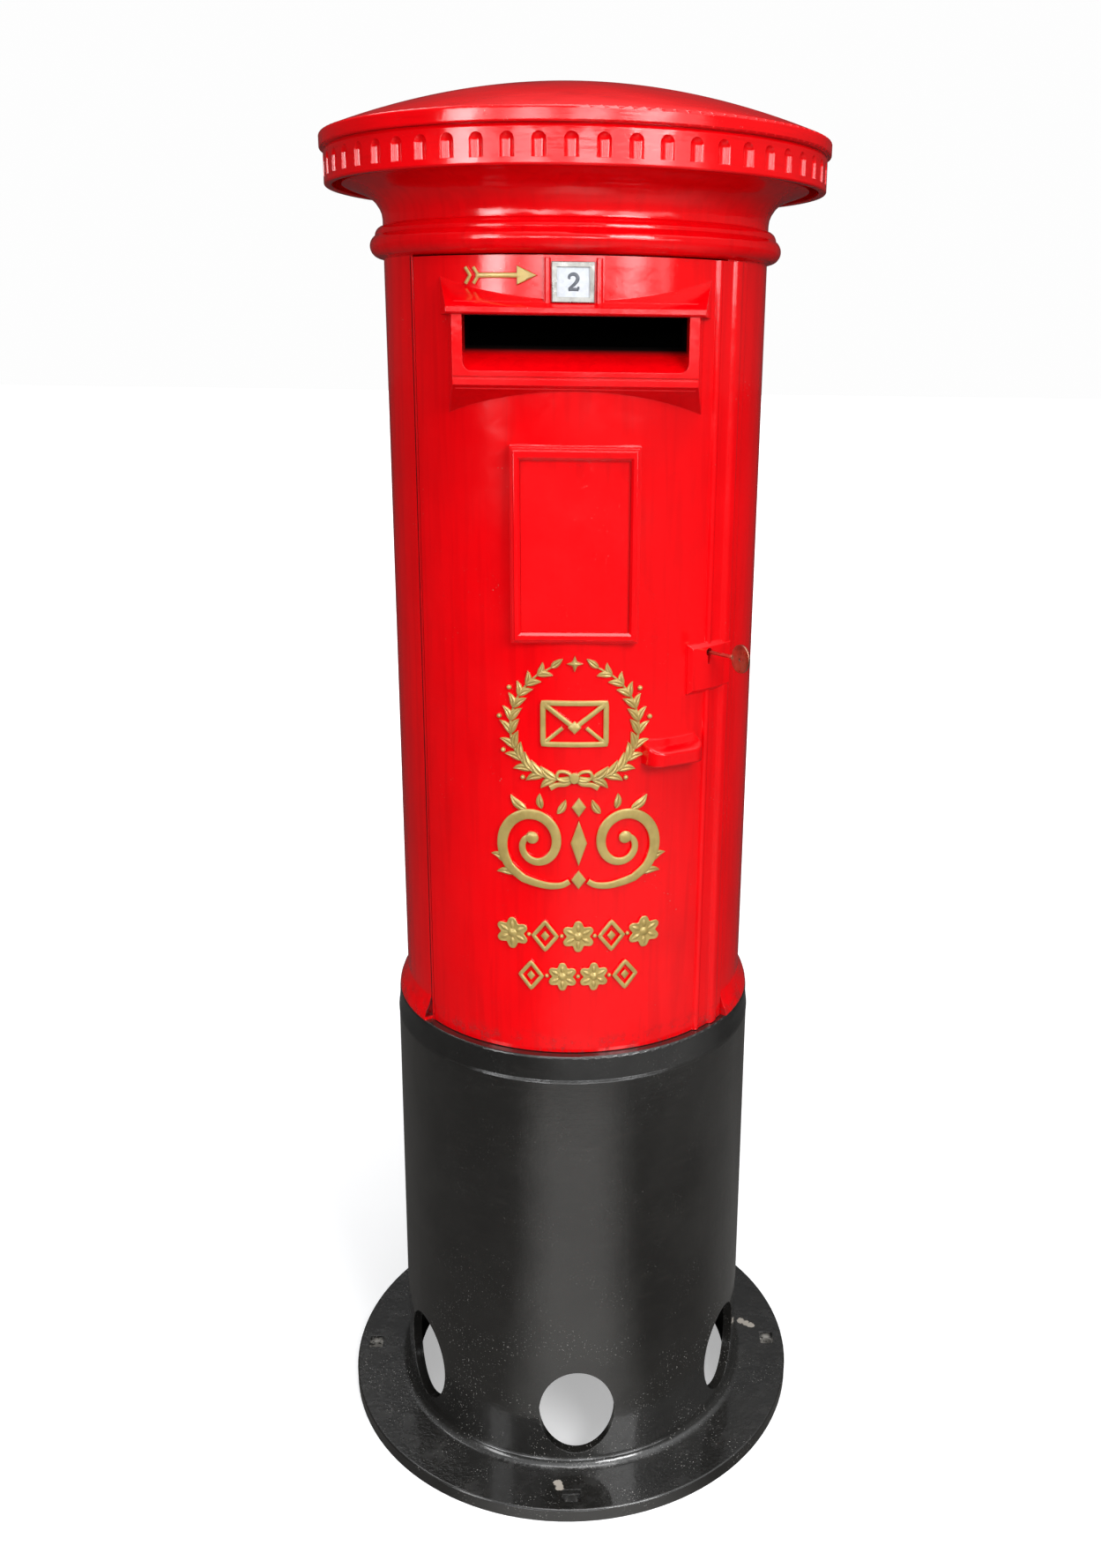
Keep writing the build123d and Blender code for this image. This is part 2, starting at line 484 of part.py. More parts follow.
# ------------------------------------------------------------------ hinges
brackets, lugs, pins, bushes = [], [], [], []
bracket_screws, lug_screws = [], []
inside = cyl_z(0, 0, INNER_R, 600, 1800)
for zc in HINGE_Z:
    z0, z1 = zc - 11, zc + 11
    plate = sector(226, INNER_R, -74.5, -58.0, zc - 32, zc + 32)
    # hook-shaped arm that reaches the hinge axis from the inner side
    arc_pts = []
    ring = cyl_z(HX, HY, 53, z0, z1) - cyl_z(HX, HY, 40, z0 - 1, z1 + 1)
    wedge = [(HX, HY)]
    for k in range(0, 11):
        d = math.radians(6 + k * 14.6)
        wedge.append((HX + 90 * math.cos(d), HY + 90 * math.sin(d)))
    ring = ring & plan_prism(wedge, z0, z1)
    d = math.radians(15)
    ux, uy = math.cos(d), math.sin(d)
    vx, vy = -uy, ux
    spoke = plan_prism([(HX + 4 * ux - 7 * vx, HY + 4 * uy - 7 * vy), (HX + 46 * ux - 7 * vx, HY + 46 * uy - 7 * vy),
                        (HX + 46 * ux + 7 * vx, HY + 46 * uy + 7 * vy), (HX + 4 * ux + 7 * vx, HY + 4 * uy + 7 * vy)], z0, z1)
    eye = cyl_z(HX, HY, 9.8, z0, z1)
    br = plate + ((ring + spoke + eye) & inside)
    br = br - cyl_z(HX, HY, 6.0, z0 - 1, z1 + 1)
    for dz in (-23, 23):
        br = br - at_az(BRACKET_SCREW_AZ, rod_y(0, zc + dz, 3.0, -246, -215) + rod_y(0, zc + dz, 6.4, -226.3, -215))
        bracket_screws.append(radial_screw(BRACKET_SCREW_AZ, zc + dz, 226.3, 245.5, 3.0, 6.0, 4.0))
    brackets.append(largest(br))
    bushes.append(cyl_z(HX, HY, 6.0, z0, z1) - cyl_z(HX, HY, 4.5 + MEET, z0 - 1, z1 + 1))
    foot = sector(230, INNER_R, -41.4, -27.0, zc - 36, zc + 36)
    ear_plan = (sector(218, INNER_R, HINGE_AZ, -27.0, zc - 22, zc + 22) + cyl_z(HX, HY, 10.0, zc - 22, zc + 22)) & inside
    ear_plan = ear_plan - sector(200, INNER_R + 1, HINGE_AZ - 20, -25.0, zc - 11.5, zc + 11.5)
    lug = foot + ear_plan
    lug = lug - cyl_z(HX, HY, 4.5, zc - 40, zc + 40)
    for dz in (-29, 29):
        lug = lug - at_az(LUG_SCREW_AZ, rod_y(0, zc + dz, 3.0, -246, -215) + rod_y(0, zc + dz, 6.4, -230.3, -215))
        lug_screws.append(radial_screw(LUG_SCREW_AZ, zc + dz, 230.3, 245.5, 3.0, 6.0, 4.0))
    lugs.append(largest(lug))
    pins.append(cyl_z(HX, HY, 4.5, zc - 25, zc + 22) + cyl_z(HX, HY, 7.0, zc + 22, zc + 26))
save("lower_hinge_bracket", brackets[0])
save("upper_hinge_bracket", brackets[1])
save("hinge_bushes", bushes)
save("hinge_bracket_screws", bracket_screws)
save("lower_door_lug", lugs[0])
save("upper_door_lug", lugs[1])
save("hinge_pins", pins)
save("door_lug_screws", lug_screws)

# ------------------------------------------------------------------ rim lock on the door
CX0, CX1, CZ0, CZ1 = -45.0, 16.0, 1190.0, 1262.0
case = block(CX0, CX1, -232, -205, CZ0, CZ1) - block(CX0 + 3, CX1 - 2, -229, -204, CZ0 + 3, CZ1 - 3)
for x, z in LOCK_SCREWS:
    case = case + rod_y(x, z, 4.6, -230, -205)
case = case + rod_y(-31.0, 1251.0, 3.0, -230, -206.5)
for x, z in LOCK_SCREWS:
    case = case - rod_y(x, z, 2.5, -240, -200)
case = case & block(CX0, CX1, -232, -205, CZ0, CZ1)
# passage for the bolt, and the key's way in with the seat of the barrel
case = case - block(CX1 - 4, CX1 + 1, -226.4, -213.6, 1205.6, 1222.4)
case = case - rod_y(0, LOCK_Z, 9.3, -240, -228)
case = case - block(-2.1, 2.1, -240, -228, 1227.5, LOCK_Z)
save("lock_case", at_az(LOCK_AZ, largest(case)))

cover = block(CX0, CX1, -205, -202, CZ0, CZ1)
for x, z in LOCK_SCREWS:
    cover = cover - rod_y(x, z, 2.5, -210, -200)
save("lock_cover", at_az(LOCK_AZ, cover))
save("lock_screws", [at_az(LOCK_AZ, screw_y(x, z, -202, 38.0, 2.5, 4.2, 2.6)) for x, z in LOCK_SCREWS])

# five levers on their post, behind the bolt's tail
levers = []
for k in range(5):
    y0 = -228.0 + 3.6 * k
    lev = block(-39.5, -15.0, y0, y0 + 2.4, 1226.0, 1243.5) + rod_y(-31.0, 1248.5, 7.0, y0, y0 + 2.4)
    lev = lev + block(-38.0, -24.0, y0, y0 + 2.4, 1240.0, 1250.0)
    lev = lev - rod_y(-31.0, 1251.0, 3.0, -240, -200) - block(-30.0, -19.0, y0 - 1, y0 + 4, 1230.0, 1234.0)
    levers.append(at_az(LOCK_AZ, lev))
save("lever_pack", levers)

# bolt with the two horns that the key's bit pushes
bolt = block(-34, 15.4, -226, -214, 1206, 1222)
for x0, x1 in ((-7.4, -3.0), (3.9, 6.1)):
    bolt = bolt + block(x0, x1, -223, -215, 1221, 1232.6)
save("lock_bolt", at_az(LOCK_AZ, bolt))

# revolving barrel with the key slot
barrel = rod_y(0, LOCK_Z, 9.0, -231.6, -226.2) + rod_y(0, LOCK_Z, 10.6, -228.6, -226.2)
barrel = barrel - rod_y(0, LOCK_Z, 2.8, -240, -220) - block(-1.9, 1.9, -240, -220, 1225, LOCK_Z)
save("lock_curtain", at_az(LOCK_AZ, barrel))

# key: shank, bit and oval bow
key = rod_y(0, LOCK_Z, KEY_R, -297.5, -208.5)
key = key + block(-1.2, 1.2, -220.6, -210.0, 1230.2, LOCK_Z)
for y0, z1 in ((-218.8, 1232.4), (-215.6, 1233.8), (-212.6, 1231.8)):
    key = key - block(-3, 3, y0, y0 + 1.1, 1229, z1)
key = key + rod_y(0, LOCK_Z, 3.6, -298.0, -294.0)
bow = extrude(Plane((-1.5, -311.0, LOCK_Z), x_dir=(0, 1, 0), z_dir=(1, 0, 0)) * Ellipse(15.2, 18.6), amount=3.0)
bow = bow - rod_x(-311.5, LOCK_Z - 1.0, 2.2, -5, 5)
try:
    bow = fillet([e for e in bow.edges() if e.length > 40], 0.9)
except Exception as err:
    print("bow left sharp:", err)
key = key + bow
save("key", at_az(LOCK_AZ, largest(key)))

# ------------------------------------------------------------------ keep on the drum
kx0, kx1 = 17.2, 21.2
keep_tab = at_az(LOCK_AZ, block(kx0, kx1, -236.0, -206.0, 1192, 1248)) & inside
keep_tab = keep_tab - at_az(LOCK_AZ, block(kx0 - 1, kx1 + 1, -227.0, -213.0, 1205.0, 1223.0))
keep_foot = sector(232.5, INNER_R, 48.0, 58.0, 1192, 1248)
keep_foot = keep_foot - at_az(LOCK_AZ, block(-20, kx0, -260, -190, 1180, 1260))
keep = keep_tab + keep_foot
for z in (1200.0, 1240.0):
    keep = keep - at_az(KEEP_SCREW_AZ, rod_y(0, z, 2.5, -246, -215) + rod_y(0, z, 5.0, -232.7, -215))
save("lock_keep", largest(keep))
save("keep_screws", [radial_screw(KEEP_SCREW_AZ, z, 232.7, 245.0, 2.5, 4.6, 2.8) for z in (1200.0, 1240.0)])

# ------------------------------------------------------------------ wire guard behind the door
GY = -96.0
GX0, GX1, GZ0, GZ1 = -190.0, 190.0, 728.0, 1532.0
guard = block(GX0, GX1, GY - 3, GY + 3, GZ0, GZ0 + 16) + block(GX0, GX1, GY - 3, GY + 3, GZ1 - 16, GZ1)
guard = guard + block(GX0, GX0 + 16, GY - 3, GY + 3, GZ0, GZ1) + block(GX1 - 16, GX1, GY - 3, GY + 3, GZ0, GZ1)
for z in (1000.0, 1270.0):
    guard = guard + block(GX0, GX1, GY - 3, GY + 3, z - 8, z + 8)
wires = []
for k in range(13):
    x = GX0 + 8 + (GX1 - GX0 - 16) / 14.0 * (k + 1)
    wires.append(cyl_z(x, GY, 2.5, GZ0 + 4, GZ1 - 4))
guard = guard.fuse(*wires) if hasattr(guard, "fuse") else guard + wires
save("wire_guard", largest(guard))

guard_brackets, guard_screws = [], []
for az, z in GUARD_SCREWS:
    s = 1 if az > 0 else -1
    foot = sector(234, INNER_R, min(az - s * 2.5, az + s * 8.0), max(az - s * 2.5, az + s * 8.0), z - 18, z + 18)
    xa, xb = sorted((s * 192.0 - s * 16.0, s * 224.0))
    arm = block(xa, xb, GY + 3, GY + 8, z - 14, z + 14) & inside
    br = foot + arm
    br = br - at_az(az, rod_y(0, z, 3.0, -250, -215) + rod_y(0, z, 6.0, -234.3, -222))
    guard_brackets.append(largest(br))
    guard_screws.append(radial_screw(az, z, 234.3, 245.5, 3.0, 5.6, 3.6))
save("guard_brackets", guard_brackets)
save("guard_screws", guard_screws)
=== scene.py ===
import math

import bpy
import numpy as np
from mathutils import Matrix, Vector


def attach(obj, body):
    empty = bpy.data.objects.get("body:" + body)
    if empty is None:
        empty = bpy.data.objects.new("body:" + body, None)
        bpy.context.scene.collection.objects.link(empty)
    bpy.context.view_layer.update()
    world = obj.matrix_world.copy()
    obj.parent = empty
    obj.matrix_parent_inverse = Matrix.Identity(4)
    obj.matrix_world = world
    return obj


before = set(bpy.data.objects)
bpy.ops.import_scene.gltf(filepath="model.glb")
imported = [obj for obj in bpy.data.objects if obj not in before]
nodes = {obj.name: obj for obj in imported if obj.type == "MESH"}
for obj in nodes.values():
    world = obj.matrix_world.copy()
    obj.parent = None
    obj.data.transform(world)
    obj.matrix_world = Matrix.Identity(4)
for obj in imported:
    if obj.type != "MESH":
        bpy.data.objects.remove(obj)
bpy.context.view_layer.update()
scene = bpy.context.scene


# ------------------------------------------------------------------ node helpers
class Mat:
    """A material's node tree, with short ways to add to it."""

    def __init__(self, name):
        self.m = bpy.data.materials.new(name)
        self.m.use_nodes = True
        self.t = self.m.node_tree
        self.t.nodes.clear()
        self.out = self.add("ShaderNodeOutputMaterial")
        self.co = self.add("ShaderNodeTexCoord").outputs["Object"]

    def add(self, kind, **props):
        n = self.t.nodes.new(kind)
        for k, v in props.items():
            setattr(n, k, v)
        return n

    def put(self, socket, value):
        if hasattr(value, "is_linked"):
            self.t.links.new(value, socket)
        else:
            socket.default_value = value

    def scaled(self, sx, sy, sz, co=None, offset=(0, 0, 0)):
        n = self.add("ShaderNodeMapping")
        self.put(n.inputs["Vector"], co or self.co)
        n.inputs["Scale"].default_value = (sx, sy, sz)
        n.inputs["Location"].default_value = offset
        return n.outputs["Vector"]

    def noise(self, scale, detail=3.0, rough=0.5, co=None, distort=0.0):
        n = self.add("ShaderNodeTexNoise")
        self.put(n.inputs["Vector"], co or self.co)
        n.inputs["Scale"].default_value = scale
        n.inputs["Detail"].default_value = detail
        n.inputs["Roughness"].default_value = rough
        n.inputs["Distortion"].default_value = distort
        return n.outputs["Fac"]

    def voronoi(self, scale, co=None, feature="F1"):
        n = self.add("ShaderNodeTexVoronoi", feature=feature)
        self.put(n.inputs["Vector"], co or self.co)
        n.inputs["Scale"].default_value = scale
        return n.outputs["Distance"]

    def op(self, what, a, b=0.0, c=0.0, clamp=False):
        n = self.add("ShaderNodeMath", operation=what, use_clamp=clamp)
        self.put(n.inputs[0], a)
        self.put(n.inputs[1], b)
        if what in ("MULTIPLY_ADD", "SMOOTH_MIN", "COMPARE"):
            self.put(n.inputs[2], c)
        return n.outputs[0]

    def between(self, x, a, b, y0=0.0, y1=1.0):
        """Smooth step of x from a to b."""
        n = self.add("ShaderNodeMapRange", interpolation_type="SMOOTHSTEP")
        self.put(n.inputs["Value"], x)
        n.inputs["From Min"].default_value = a
        n.inputs["From Max"].default_value = b
        n.inputs["To Min"].default_value = y0
        n.inputs["To Max"].default_value = y1
        return n.outputs["Result"]

    def mix(self, f, a, b, blend="MIX"):
        n = self.add("ShaderNodeMix", data_type="RGBA", blend_type=blend)
        self.put(n.inputs["Factor"], f)
        self.put(n.inputs["A"], a if hasattr(a, "is_linked") else (*a, 1.0))
        self.put(n.inputs["B"], b if hasattr(b, "is_linked") else (*b, 1.0))
        for i, s in enumerate(n.inputs):
            if s.type == "RGBA" and s.name == "A":
                self.put(s, a if hasattr(a, "is_linked") else (*a, 1.0))
            if s.type == "RGBA" and s.name == "B":
                self.put(s, b if hasattr(b, "is_linked") else (*b, 1.0))
        return [o for o in n.outputs if o.type == "RGBA"][0]

    def xyz(self, co=None):
        n = self.add("ShaderNodeSeparateXYZ")
        self.put(n.inputs[0], co or self.co)
        return n.outputs[0], n.outputs[1], n.outputs[2]

    def bevel(self, radius, samples=4):
        n = self.add("ShaderNodeBevel", samples=samples)
        n.inputs["Radius"].default_value = radius
        return n.outputs["Normal"]

    def bump(self, height, distance, normal=None, strength=1.0):
        n = self.add("ShaderNodeBump")
        n.inputs["Distance"].default_value = distance
        n.inputs["Strength"].default_value = strength
        self.put(n.inputs["Height"], height)
        if normal is not None:
            self.put(n.inputs["Normal"], normal)
        return n.outputs["Normal"]

    def edge(self, radius, lo=0.02, hi=0.25):
        """1 on edges: where the rounded normal leaves the true one."""
        g = self.add("ShaderNodeNewGeometry")
        d = self.add("ShaderNodeVectorMath", operation="DOT_PRODUCT")
        self.put(d.inputs[0], self.bevel(radius, 4))
        self.put(d.inputs[1], g.outputs["Normal"])
        return self.between(self.op("SUBTRACT", 1.0, d.outputs["Value"]), lo, hi)

    def near(self, points, r0, r1):
        """1 close to any of these points, in metres."""
        best = None
        for p in points:
            d = self.add("ShaderNodeVectorMath", operation="DISTANCE")
            self.put(d.inputs[0], self.co)
            d.inputs[1].default_value = p
            v = d.outputs["Value"]
            best = v if best is None else self.op("MINIMUM", best, v)
        return self.between(best, r1, r0)

    def surface(self, **sockets):
        p = self.add("ShaderNodeBsdfPrincipled")
        for k, v in sockets.items():
            k = k.replace("_", " ")
            if k == "Base Color" and not hasattr(v, "is_linked"):
                v = (*v, 1.0)
            self.put(p.inputs[k], v)
        self.t.links.new(p.outputs[0], self.out.inputs["Surface"])
        return self.m


# ------------------------------------------------------------------ materials
def red_paint(name, run="down", deep=(0.46, 0.0002, 0.0012), bright=(0.86, 0.0003, 0.0030), marks=1.0, bevel=0.0014, door=False):
    """Thick gloss enamel over a cast surface. run is the way the brush went."""
    k = Mat(name)
    x, y, z = k.xyz()
    if run == "down":
        hairs = k.noise(1.0, 3.0, 0.6, k.scaled(330, 330, 9), 0.3)
        drag = k.noise(1.0, 2.0, 0.5, k.scaled(70, 70, 5), 0.6)
    else:
        hairs = k.noise(1.0, 3.0, 0.6, k.scaled(28, 28, 420), 0.5)
        drag = k.noise(1.0, 2.0, 0.5, k.scaled(14, 14, 130), 0.8)
    cast = k.noise(26.0, 3.0, 0.55)
    slow = k.noise(7.0, 2.0, 0.5)
    pits = k.between(k.voronoi(240.0), 0.16, 0.02)
    pits = k.op("MULTIPLY", pits, k.between(k.noise(19.0, 2.0), 0.56, 0.66))
    skin = k.noise(420.0, 2.0, 0.5)
    n = k.bevel(bevel)
    if door:
        # the pull is cast with wide soft corners
        at_pull = k.near([(0.1314, -0.2314, 1.120), (0.1130, -0.2420, 1.118), (0.1500, -0.2210, 1.118)], 0.026, 0.034)
        soft = k.add("ShaderNodeMix", data_type="VECTOR")
        for sock in soft.inputs:
            if sock.type == "VECTOR" and sock.name == "A":
                k.put(sock, n)
            if sock.type == "VECTOR" and sock.name == "B":
                k.put(sock, k.bevel(0.0050, 8))
        k.put(soft.inputs[0], at_pull)
        n = [o for o in soft.outputs if o.type == "VECTOR"][0]
    n = k.bump(slow, 0.0016, n)
    n = k.bump(cast, 0.00048, n)
    n = k.bump(drag, 0.00012 * marks, n)
    n = k.bump(hairs, 0.000045 * marks, n)
    n = k.bump(skin, 0.000012, n)
    n = k.bump(k.op("MULTIPLY", pits, -1.0), 0.0004, n)
    tone = k.mix(k.between(k.noise(3.2, 4.0, 0.6), 0.35, 0.68), bright, tuple(0.86 * b for b in bright))
    tone = k.mix(k.op("MULTIPLY", k.between(drag, 0.42, 0.72), 0.22), tone, deep)
    # painted highlight: a brighter pink red on the sharp edges, and a little grime where castings meet
    tone = k.mix(k.op("MULTIPLY", k.edge(0.0022, 0.05, 0.4), 0.30), tone, (0.94, 0.030, 0.038))
    low = k.op("MULTIPLY", k.between(z, 0.735, 0.698), k.between(k.noise(60.0, 4.0, 0.7), 0.48, 0.66))
    tone = k.mix(k.op("MULTIPLY", low, 0.55), tone, (0.16, 0.010, 0.010))
    tone = k.mix(k.op("MULTIPLY", pits, 0.7), tone, deep)
    chip = k.op("MULTIPLY", k.between(k.noise(330.0, 2.0, 0.6), 0.70, 0.73), k.between(k.noise(12.0, 2.0), 0.60, 0.68))
    tone = k.mix(chip, tone, (0.42, 0.16, 0.13))
    if run == "down":
        # painted shade: a dark line in the joint down the hinge side and beside the lap strip
        az = k.op("MULTIPLY", k.op("ARCTAN2", x, k.op("MULTIPLY", y, -1.0)), 180.0 / math.pi)
        line = k.op("ADD", k.between(k.op("ABSOLUTE", k.op("SUBTRACT", az, -53.55)), 0.36, 0.16),
                    k.between(k.op("ABSOLUTE", k.op("SUBTRACT", az, 56.55)), 0.30, 0.12), clamp=True)
        line = k.op("MULTIPLY", line, k.op("MULTIPLY", k.between(z, 0.700, 0.704), k.between(z, 1.7215, 1.7195)))
        tone = k.mix(k.op("MULTIPLY", line, k.between(k.noise(30.0, 3.0, 0.6), 0.25, 0.55, 0.70, 0.95)), tone, (0.035, 0.0015, 0.002))
    inside_shade = 0.0
    if run == "down":
        # painted shade: the hidden inner faces are painted near black, for the shade inside the box
        inside_shade = k.between(k.op("SQRT", k.op("ADD", k.op("MULTIPLY", x, x), k.op("MULTIPLY", y, y))), 0.2396, 0.2386)
        if door:
            inside_shade = k.op("MULTIPLY", inside_shade, k.op("MAXIMUM", k.between(z, 1.575, 1.570), k.between(z, 1.675, 1.680)))
        tone = k.mix(inside_shade, tone, (0.010, 0.009, 0.009))
    if door:
        # painted shade: the slot's inner faces are painted near black, for the shade deep in the slot
        back = inside_shade
        inside_shade = k.op("MULTIPLY", k.between(y, -0.2340, -0.2180), k.op("MULTIPLY", k.between(z, 1.586, 1.590), k.between(z, 1.664, 1.660)))
        inside_shade = k.op("MULTIPLY", inside_shade, k.between(k.op("ABSOLUTE", x), 0.1345, 0.1325))
        tone = k.mix(inside_shade, tone, (0.003, 0.002, 0.002))
        inside_shade = k.op("ADD", inside_shade, back, clamp=True)
    rough = k.between(k.noise(11.0, 4.0, 0.6), 0.3, 0.75, 0.09, 0.18)
    spec, coat = 0.38, 0.25
    if run == "down":
        rough = k.op("ADD", rough, k.op("MULTIPLY", inside_shade, 0.7), clamp=True)
        spec = k.op("MULTIPLY_ADD", inside_shade, -0.36, 0.38)
        coat = k.op("MULTIPLY_ADD", inside_shade, -0.25, 0.25)
    rough = k.op("ADD", rough, k.op("MULTIPLY", low, 0.35))
    return k.surface(Base_Color=tone, Roughness=rough, IOR=1.5, Specular_IOR_Level=spec, Coat_Weight=coat, Coat_Roughness=0.035, Coat_IOR=1.5, Normal=n)


def black_paint(name):
    k = Mat(name)
    x, y, z = k.xyz()
    g = k.add("ShaderNodeNewGeometry")
    nx, ny, nz = k.xyz(g.outputs["Normal"])
    up = k.between(nz, 0.75, 0.95)
    flange = k.op("MULTIPLY", up, k.between(z, 0.045, 0.024))
    brush = k.noise(1.0, 3.0, 0.6, k.scaled(26, 26, 180), 0.5)
    drag = k.noise(1.0, 2.0, 0.5, k.scaled(120, 120, 12), 0.5)
    cast = k.noise(55.0, 4.0, 0.6)
    slow = k.noise(8.0, 2.0, 0.5)
    skin = k.noise(520.0, 2.0, 0.55)
    n = k.bevel(0.0018)
    n = k.bump(slow, 0.0016, n)
    n = k.bump(cast, 0.00052, n)
    # soft shoulder below the ring under the drum
    n = k.bump(k.between(z, 0.6645, 0.6560), 0.0023, n)
    n = k.bump(brush, 0.00014, n)
    n = k.bump(drag, 0.00012, n)
    n = k.bump(skin, 0.000022, n)
    rough_cast = k.noise(150.0, 4.0, 0.65)
    n = k.bump(k.op("MULTIPLY", rough_cast, flange), 0.0011, n)
    tone = k.mix(k.between(k.noise(6.0, 5.0, 0.65), 0.35, 0.7), (0.0095, 0.0090, 0.0082), (0.0170, 0.0162, 0.0148))
    # old brush work and a film of dust
    tone = k.mix(k.op("MULTIPLY", k.between(brush, 0.52, 0.78), 0.35), tone, (0.026, 0.024, 0.021))
    dust = k.op("MULTIPLY", k.between(k.noise(34.0, 5.0, 0.7), 0.47, 0.72), flange)
    tone = k.mix(k.op("MULTIPLY", dust, 0.12), tone, (0.07, 0.068, 0.064))
    # scuffs along the edges and specks on the flange
    worn = k.op("MULTIPLY", k.edge(0.0030, 0.04, 0.30), k.between(k.noise(95.0, 4.0, 0.7), 0.48, 0.62))
    tone = k.mix(k.op("MULTIPLY", worn, 0.50), tone, (0.19, 0.185, 0.175))
    specks = k.op("MULTIPLY", k.between(k.noise(410.0, 2.0, 0.5), 0.665, 0.70), k.between(k.noise(15.0, 3.0), 0.44, 0.60))
    low = k.between(z, 0.40, 0.02, 0.10, 1.0)
    tone = k.mix(k.op("MULTIPLY", specks, low), tone, (0.36, 0.35, 0.33))
    # bare patches where the paint has lifted, and grit left in the bolt pockets
    chips = k.near([(0.2965, 0.0365, 0.020), (0.3045, 0.0310, 0.020), (0.2890, 0.0420, 0.020), (-0.0205, -0.3035, 0.020), (-0.0175, -0.3110, 0.020)], 0.0005, 0.0115)
    chips = k.between(k.op("ADD", chips, k.op("MULTIPLY", k.noise(150.0, 5.0, 0.75), 1.5)), 1.16, 1.30)
    tone = k.mix(k.op("MULTIPLY", chips, flange), tone, (0.42, 0.38, 0.33))
    pocket = k.near([(0.327, 0.0, 0.010), (-0.327, 0.0, 0.010), (0.0, 0.327, 0.010)], 0.0130, 0.0175)
    pocket = k.op("MULTIPLY", k.op("MULTIPLY", pocket, k.between(z, 0.0185, 0.016)), k.between(k.noise(110.0, 3.0, 0.6), 0.36, 0.52))
    tone = k.mix(pocket, tone, (0.30, 0.285, 0.26))
    rough = k.between(k.noise(13.0, 5.0, 0.65), 0.3, 0.72, 0.14, 0.26)
    rough = k.op("ADD", rough, k.op("MULTIPLY", k.op("ADD", dust, k.op("ADD", chips, pocket)), 0.30), clamp=True)
    return k.surface(Base_Color=tone, Roughness=rough, IOR=1.5, Specular_IOR_Level=0.62, Coat_Weight=0.70, Coat_Roughness=0.07, Normal=n)


def metal(name, colour, dark, rough=(0.25, 0.45), brush=None, cast=0.0, rust=0.0, bevel=0.0004, fine=260.0, coat=0.0):
    """Bare metal. brush is the scale of the brushing along each axis."""
    k = Mat(name)
    patches = k.noise(46.0, 5.0, 0.65)
    fine_n = k.noise(fine * 3, 3.0, 0.6)
    n = k.bevel(bevel)
    if cast:
        n = k.bump(k.noise(fine, 4.0, 0.65), cast, n)
    lines = fine_n
    if brush:
        lines = k.noise(1.0, 3.0, 0.6, k.scaled(*brush), 0.1)
        n = k.bump(lines, 0.00003, n)
    n = k.bump(fine_n, 0.000012, n)
    tone = k.mix(k.between(patches, 0.34, 0.70), colour, dark)
    tone = k.mix(k.op("MULTIPLY", k.between(lines, 0.45, 0.75), 0.30), tone, dark)
    if rust:
        r = k.op("MULTIPLY", k.between(k.noise(88.0, 5.0, 0.7), 0.55, 0.70), rust)
        tone = k.mix(r, tone, (0.17, 0.055, 0.020))
    else:
        r = 0.0
    ro = k.between(k.noise(75.0, 4.0, 0.6), 0.3, 0.7, rough[0], rough[1])
    if rust:
        ro = k.op("ADD", ro, k.op("MULTIPLY", r, 0.35), clamp=True)
        me = k.op("SUBTRACT", 1.0, k.op("MULTIPLY", r, 0.85), clamp=True)
        return k.surface(Base_Color=tone, Roughness=ro, Metallic=me, Normal=n)
    return k.surface(Base_Color=tone, Roughness=ro, Metallic=1.0, Normal=n)


def matt_black(name):
    """Dead flat black paint with rubbed, dusty places. Its near-black tone is also painted shade deep in the letter
    slot.
    """
    k = Mat(name)
    n = k.bump(k.noise(300.0, 4.0, 0.65), 0.00010, k.bevel(0.0006))
    n = k.bump(k.noise(40.0, 3.0, 0.5), 0.00030, n)
    tone = k.mix(k.between(k.noise(60.0, 5.0, 0.7), 0.35, 0.70), (0.0018, 0.0018, 0.0017), (0.0034, 0.0033, 0.0031))
    rub = k.op("MULTIPLY", k.edge(0.0015, 0.05, 0.4), k.between(k.noise(120.0, 4.0, 0.7), 0.46, 0.62))
    tone = k.mix(k.op("MULTIPLY", rub, 0.35), tone, (0.05, 0.049, 0.047))
    rough = k.between(k.noise(80.0, 4.0, 0.6), 0.3, 0.7, 0.62, 0.80)
    return k.surface(Base_Color=tone, Roughness=rough, IOR=1.45, Specular_IOR_Level=0.05, Normal=n)


def gold_paint(name):
    k = Mat(name)
    strokes = k.noise(1.0, 3.0, 0.6, k.scaled(240, 240, 60), 0.6)
    cast = k.noise(120.0, 3.0, 0.6)
    n = k.bevel(0.0011)
    n = k.bump(cast, 0.00022, n)
    n = k.bump(strokes, 0.00006, n)
    tone = k.mix(k.between(k.noise(40.0, 4.0, 0.6), 0.35, 0.7), (0.52, 0.385, 0.120), (0.42, 0.300, 0.085))
    tone = k.mix(k.op("MULTIPLY", k.between(strokes, 0.5, 0.8), 0.35), tone, (0.60, 0.47, 0.18))
    # the red below shows through on the sharp edges and in a few thin places
    thin = k.op("ADD", k.op("MULTIPLY", k.edge(0.0011, 0.06, 0.42), 0.55), k.op("MULTIPLY", k.between(k.noise(210.0, 4.0, 0.7), 0.60, 0.72), 0.30), clamp=True)
    tone = k.mix(thin, tone, (0.66, 0.20, 0.085))
    rough = k.between(k.noise(90.0, 3.0, 0.6), 0.3, 0.7, 0.30, 0.44)
    return k.surface(Base_Color=tone, Roughness=rough, Metallic=0.35, Specular_IOR_Level=0.6, Coat_Weight=0.35, Coat_Roughness=0.16, Normal=n)


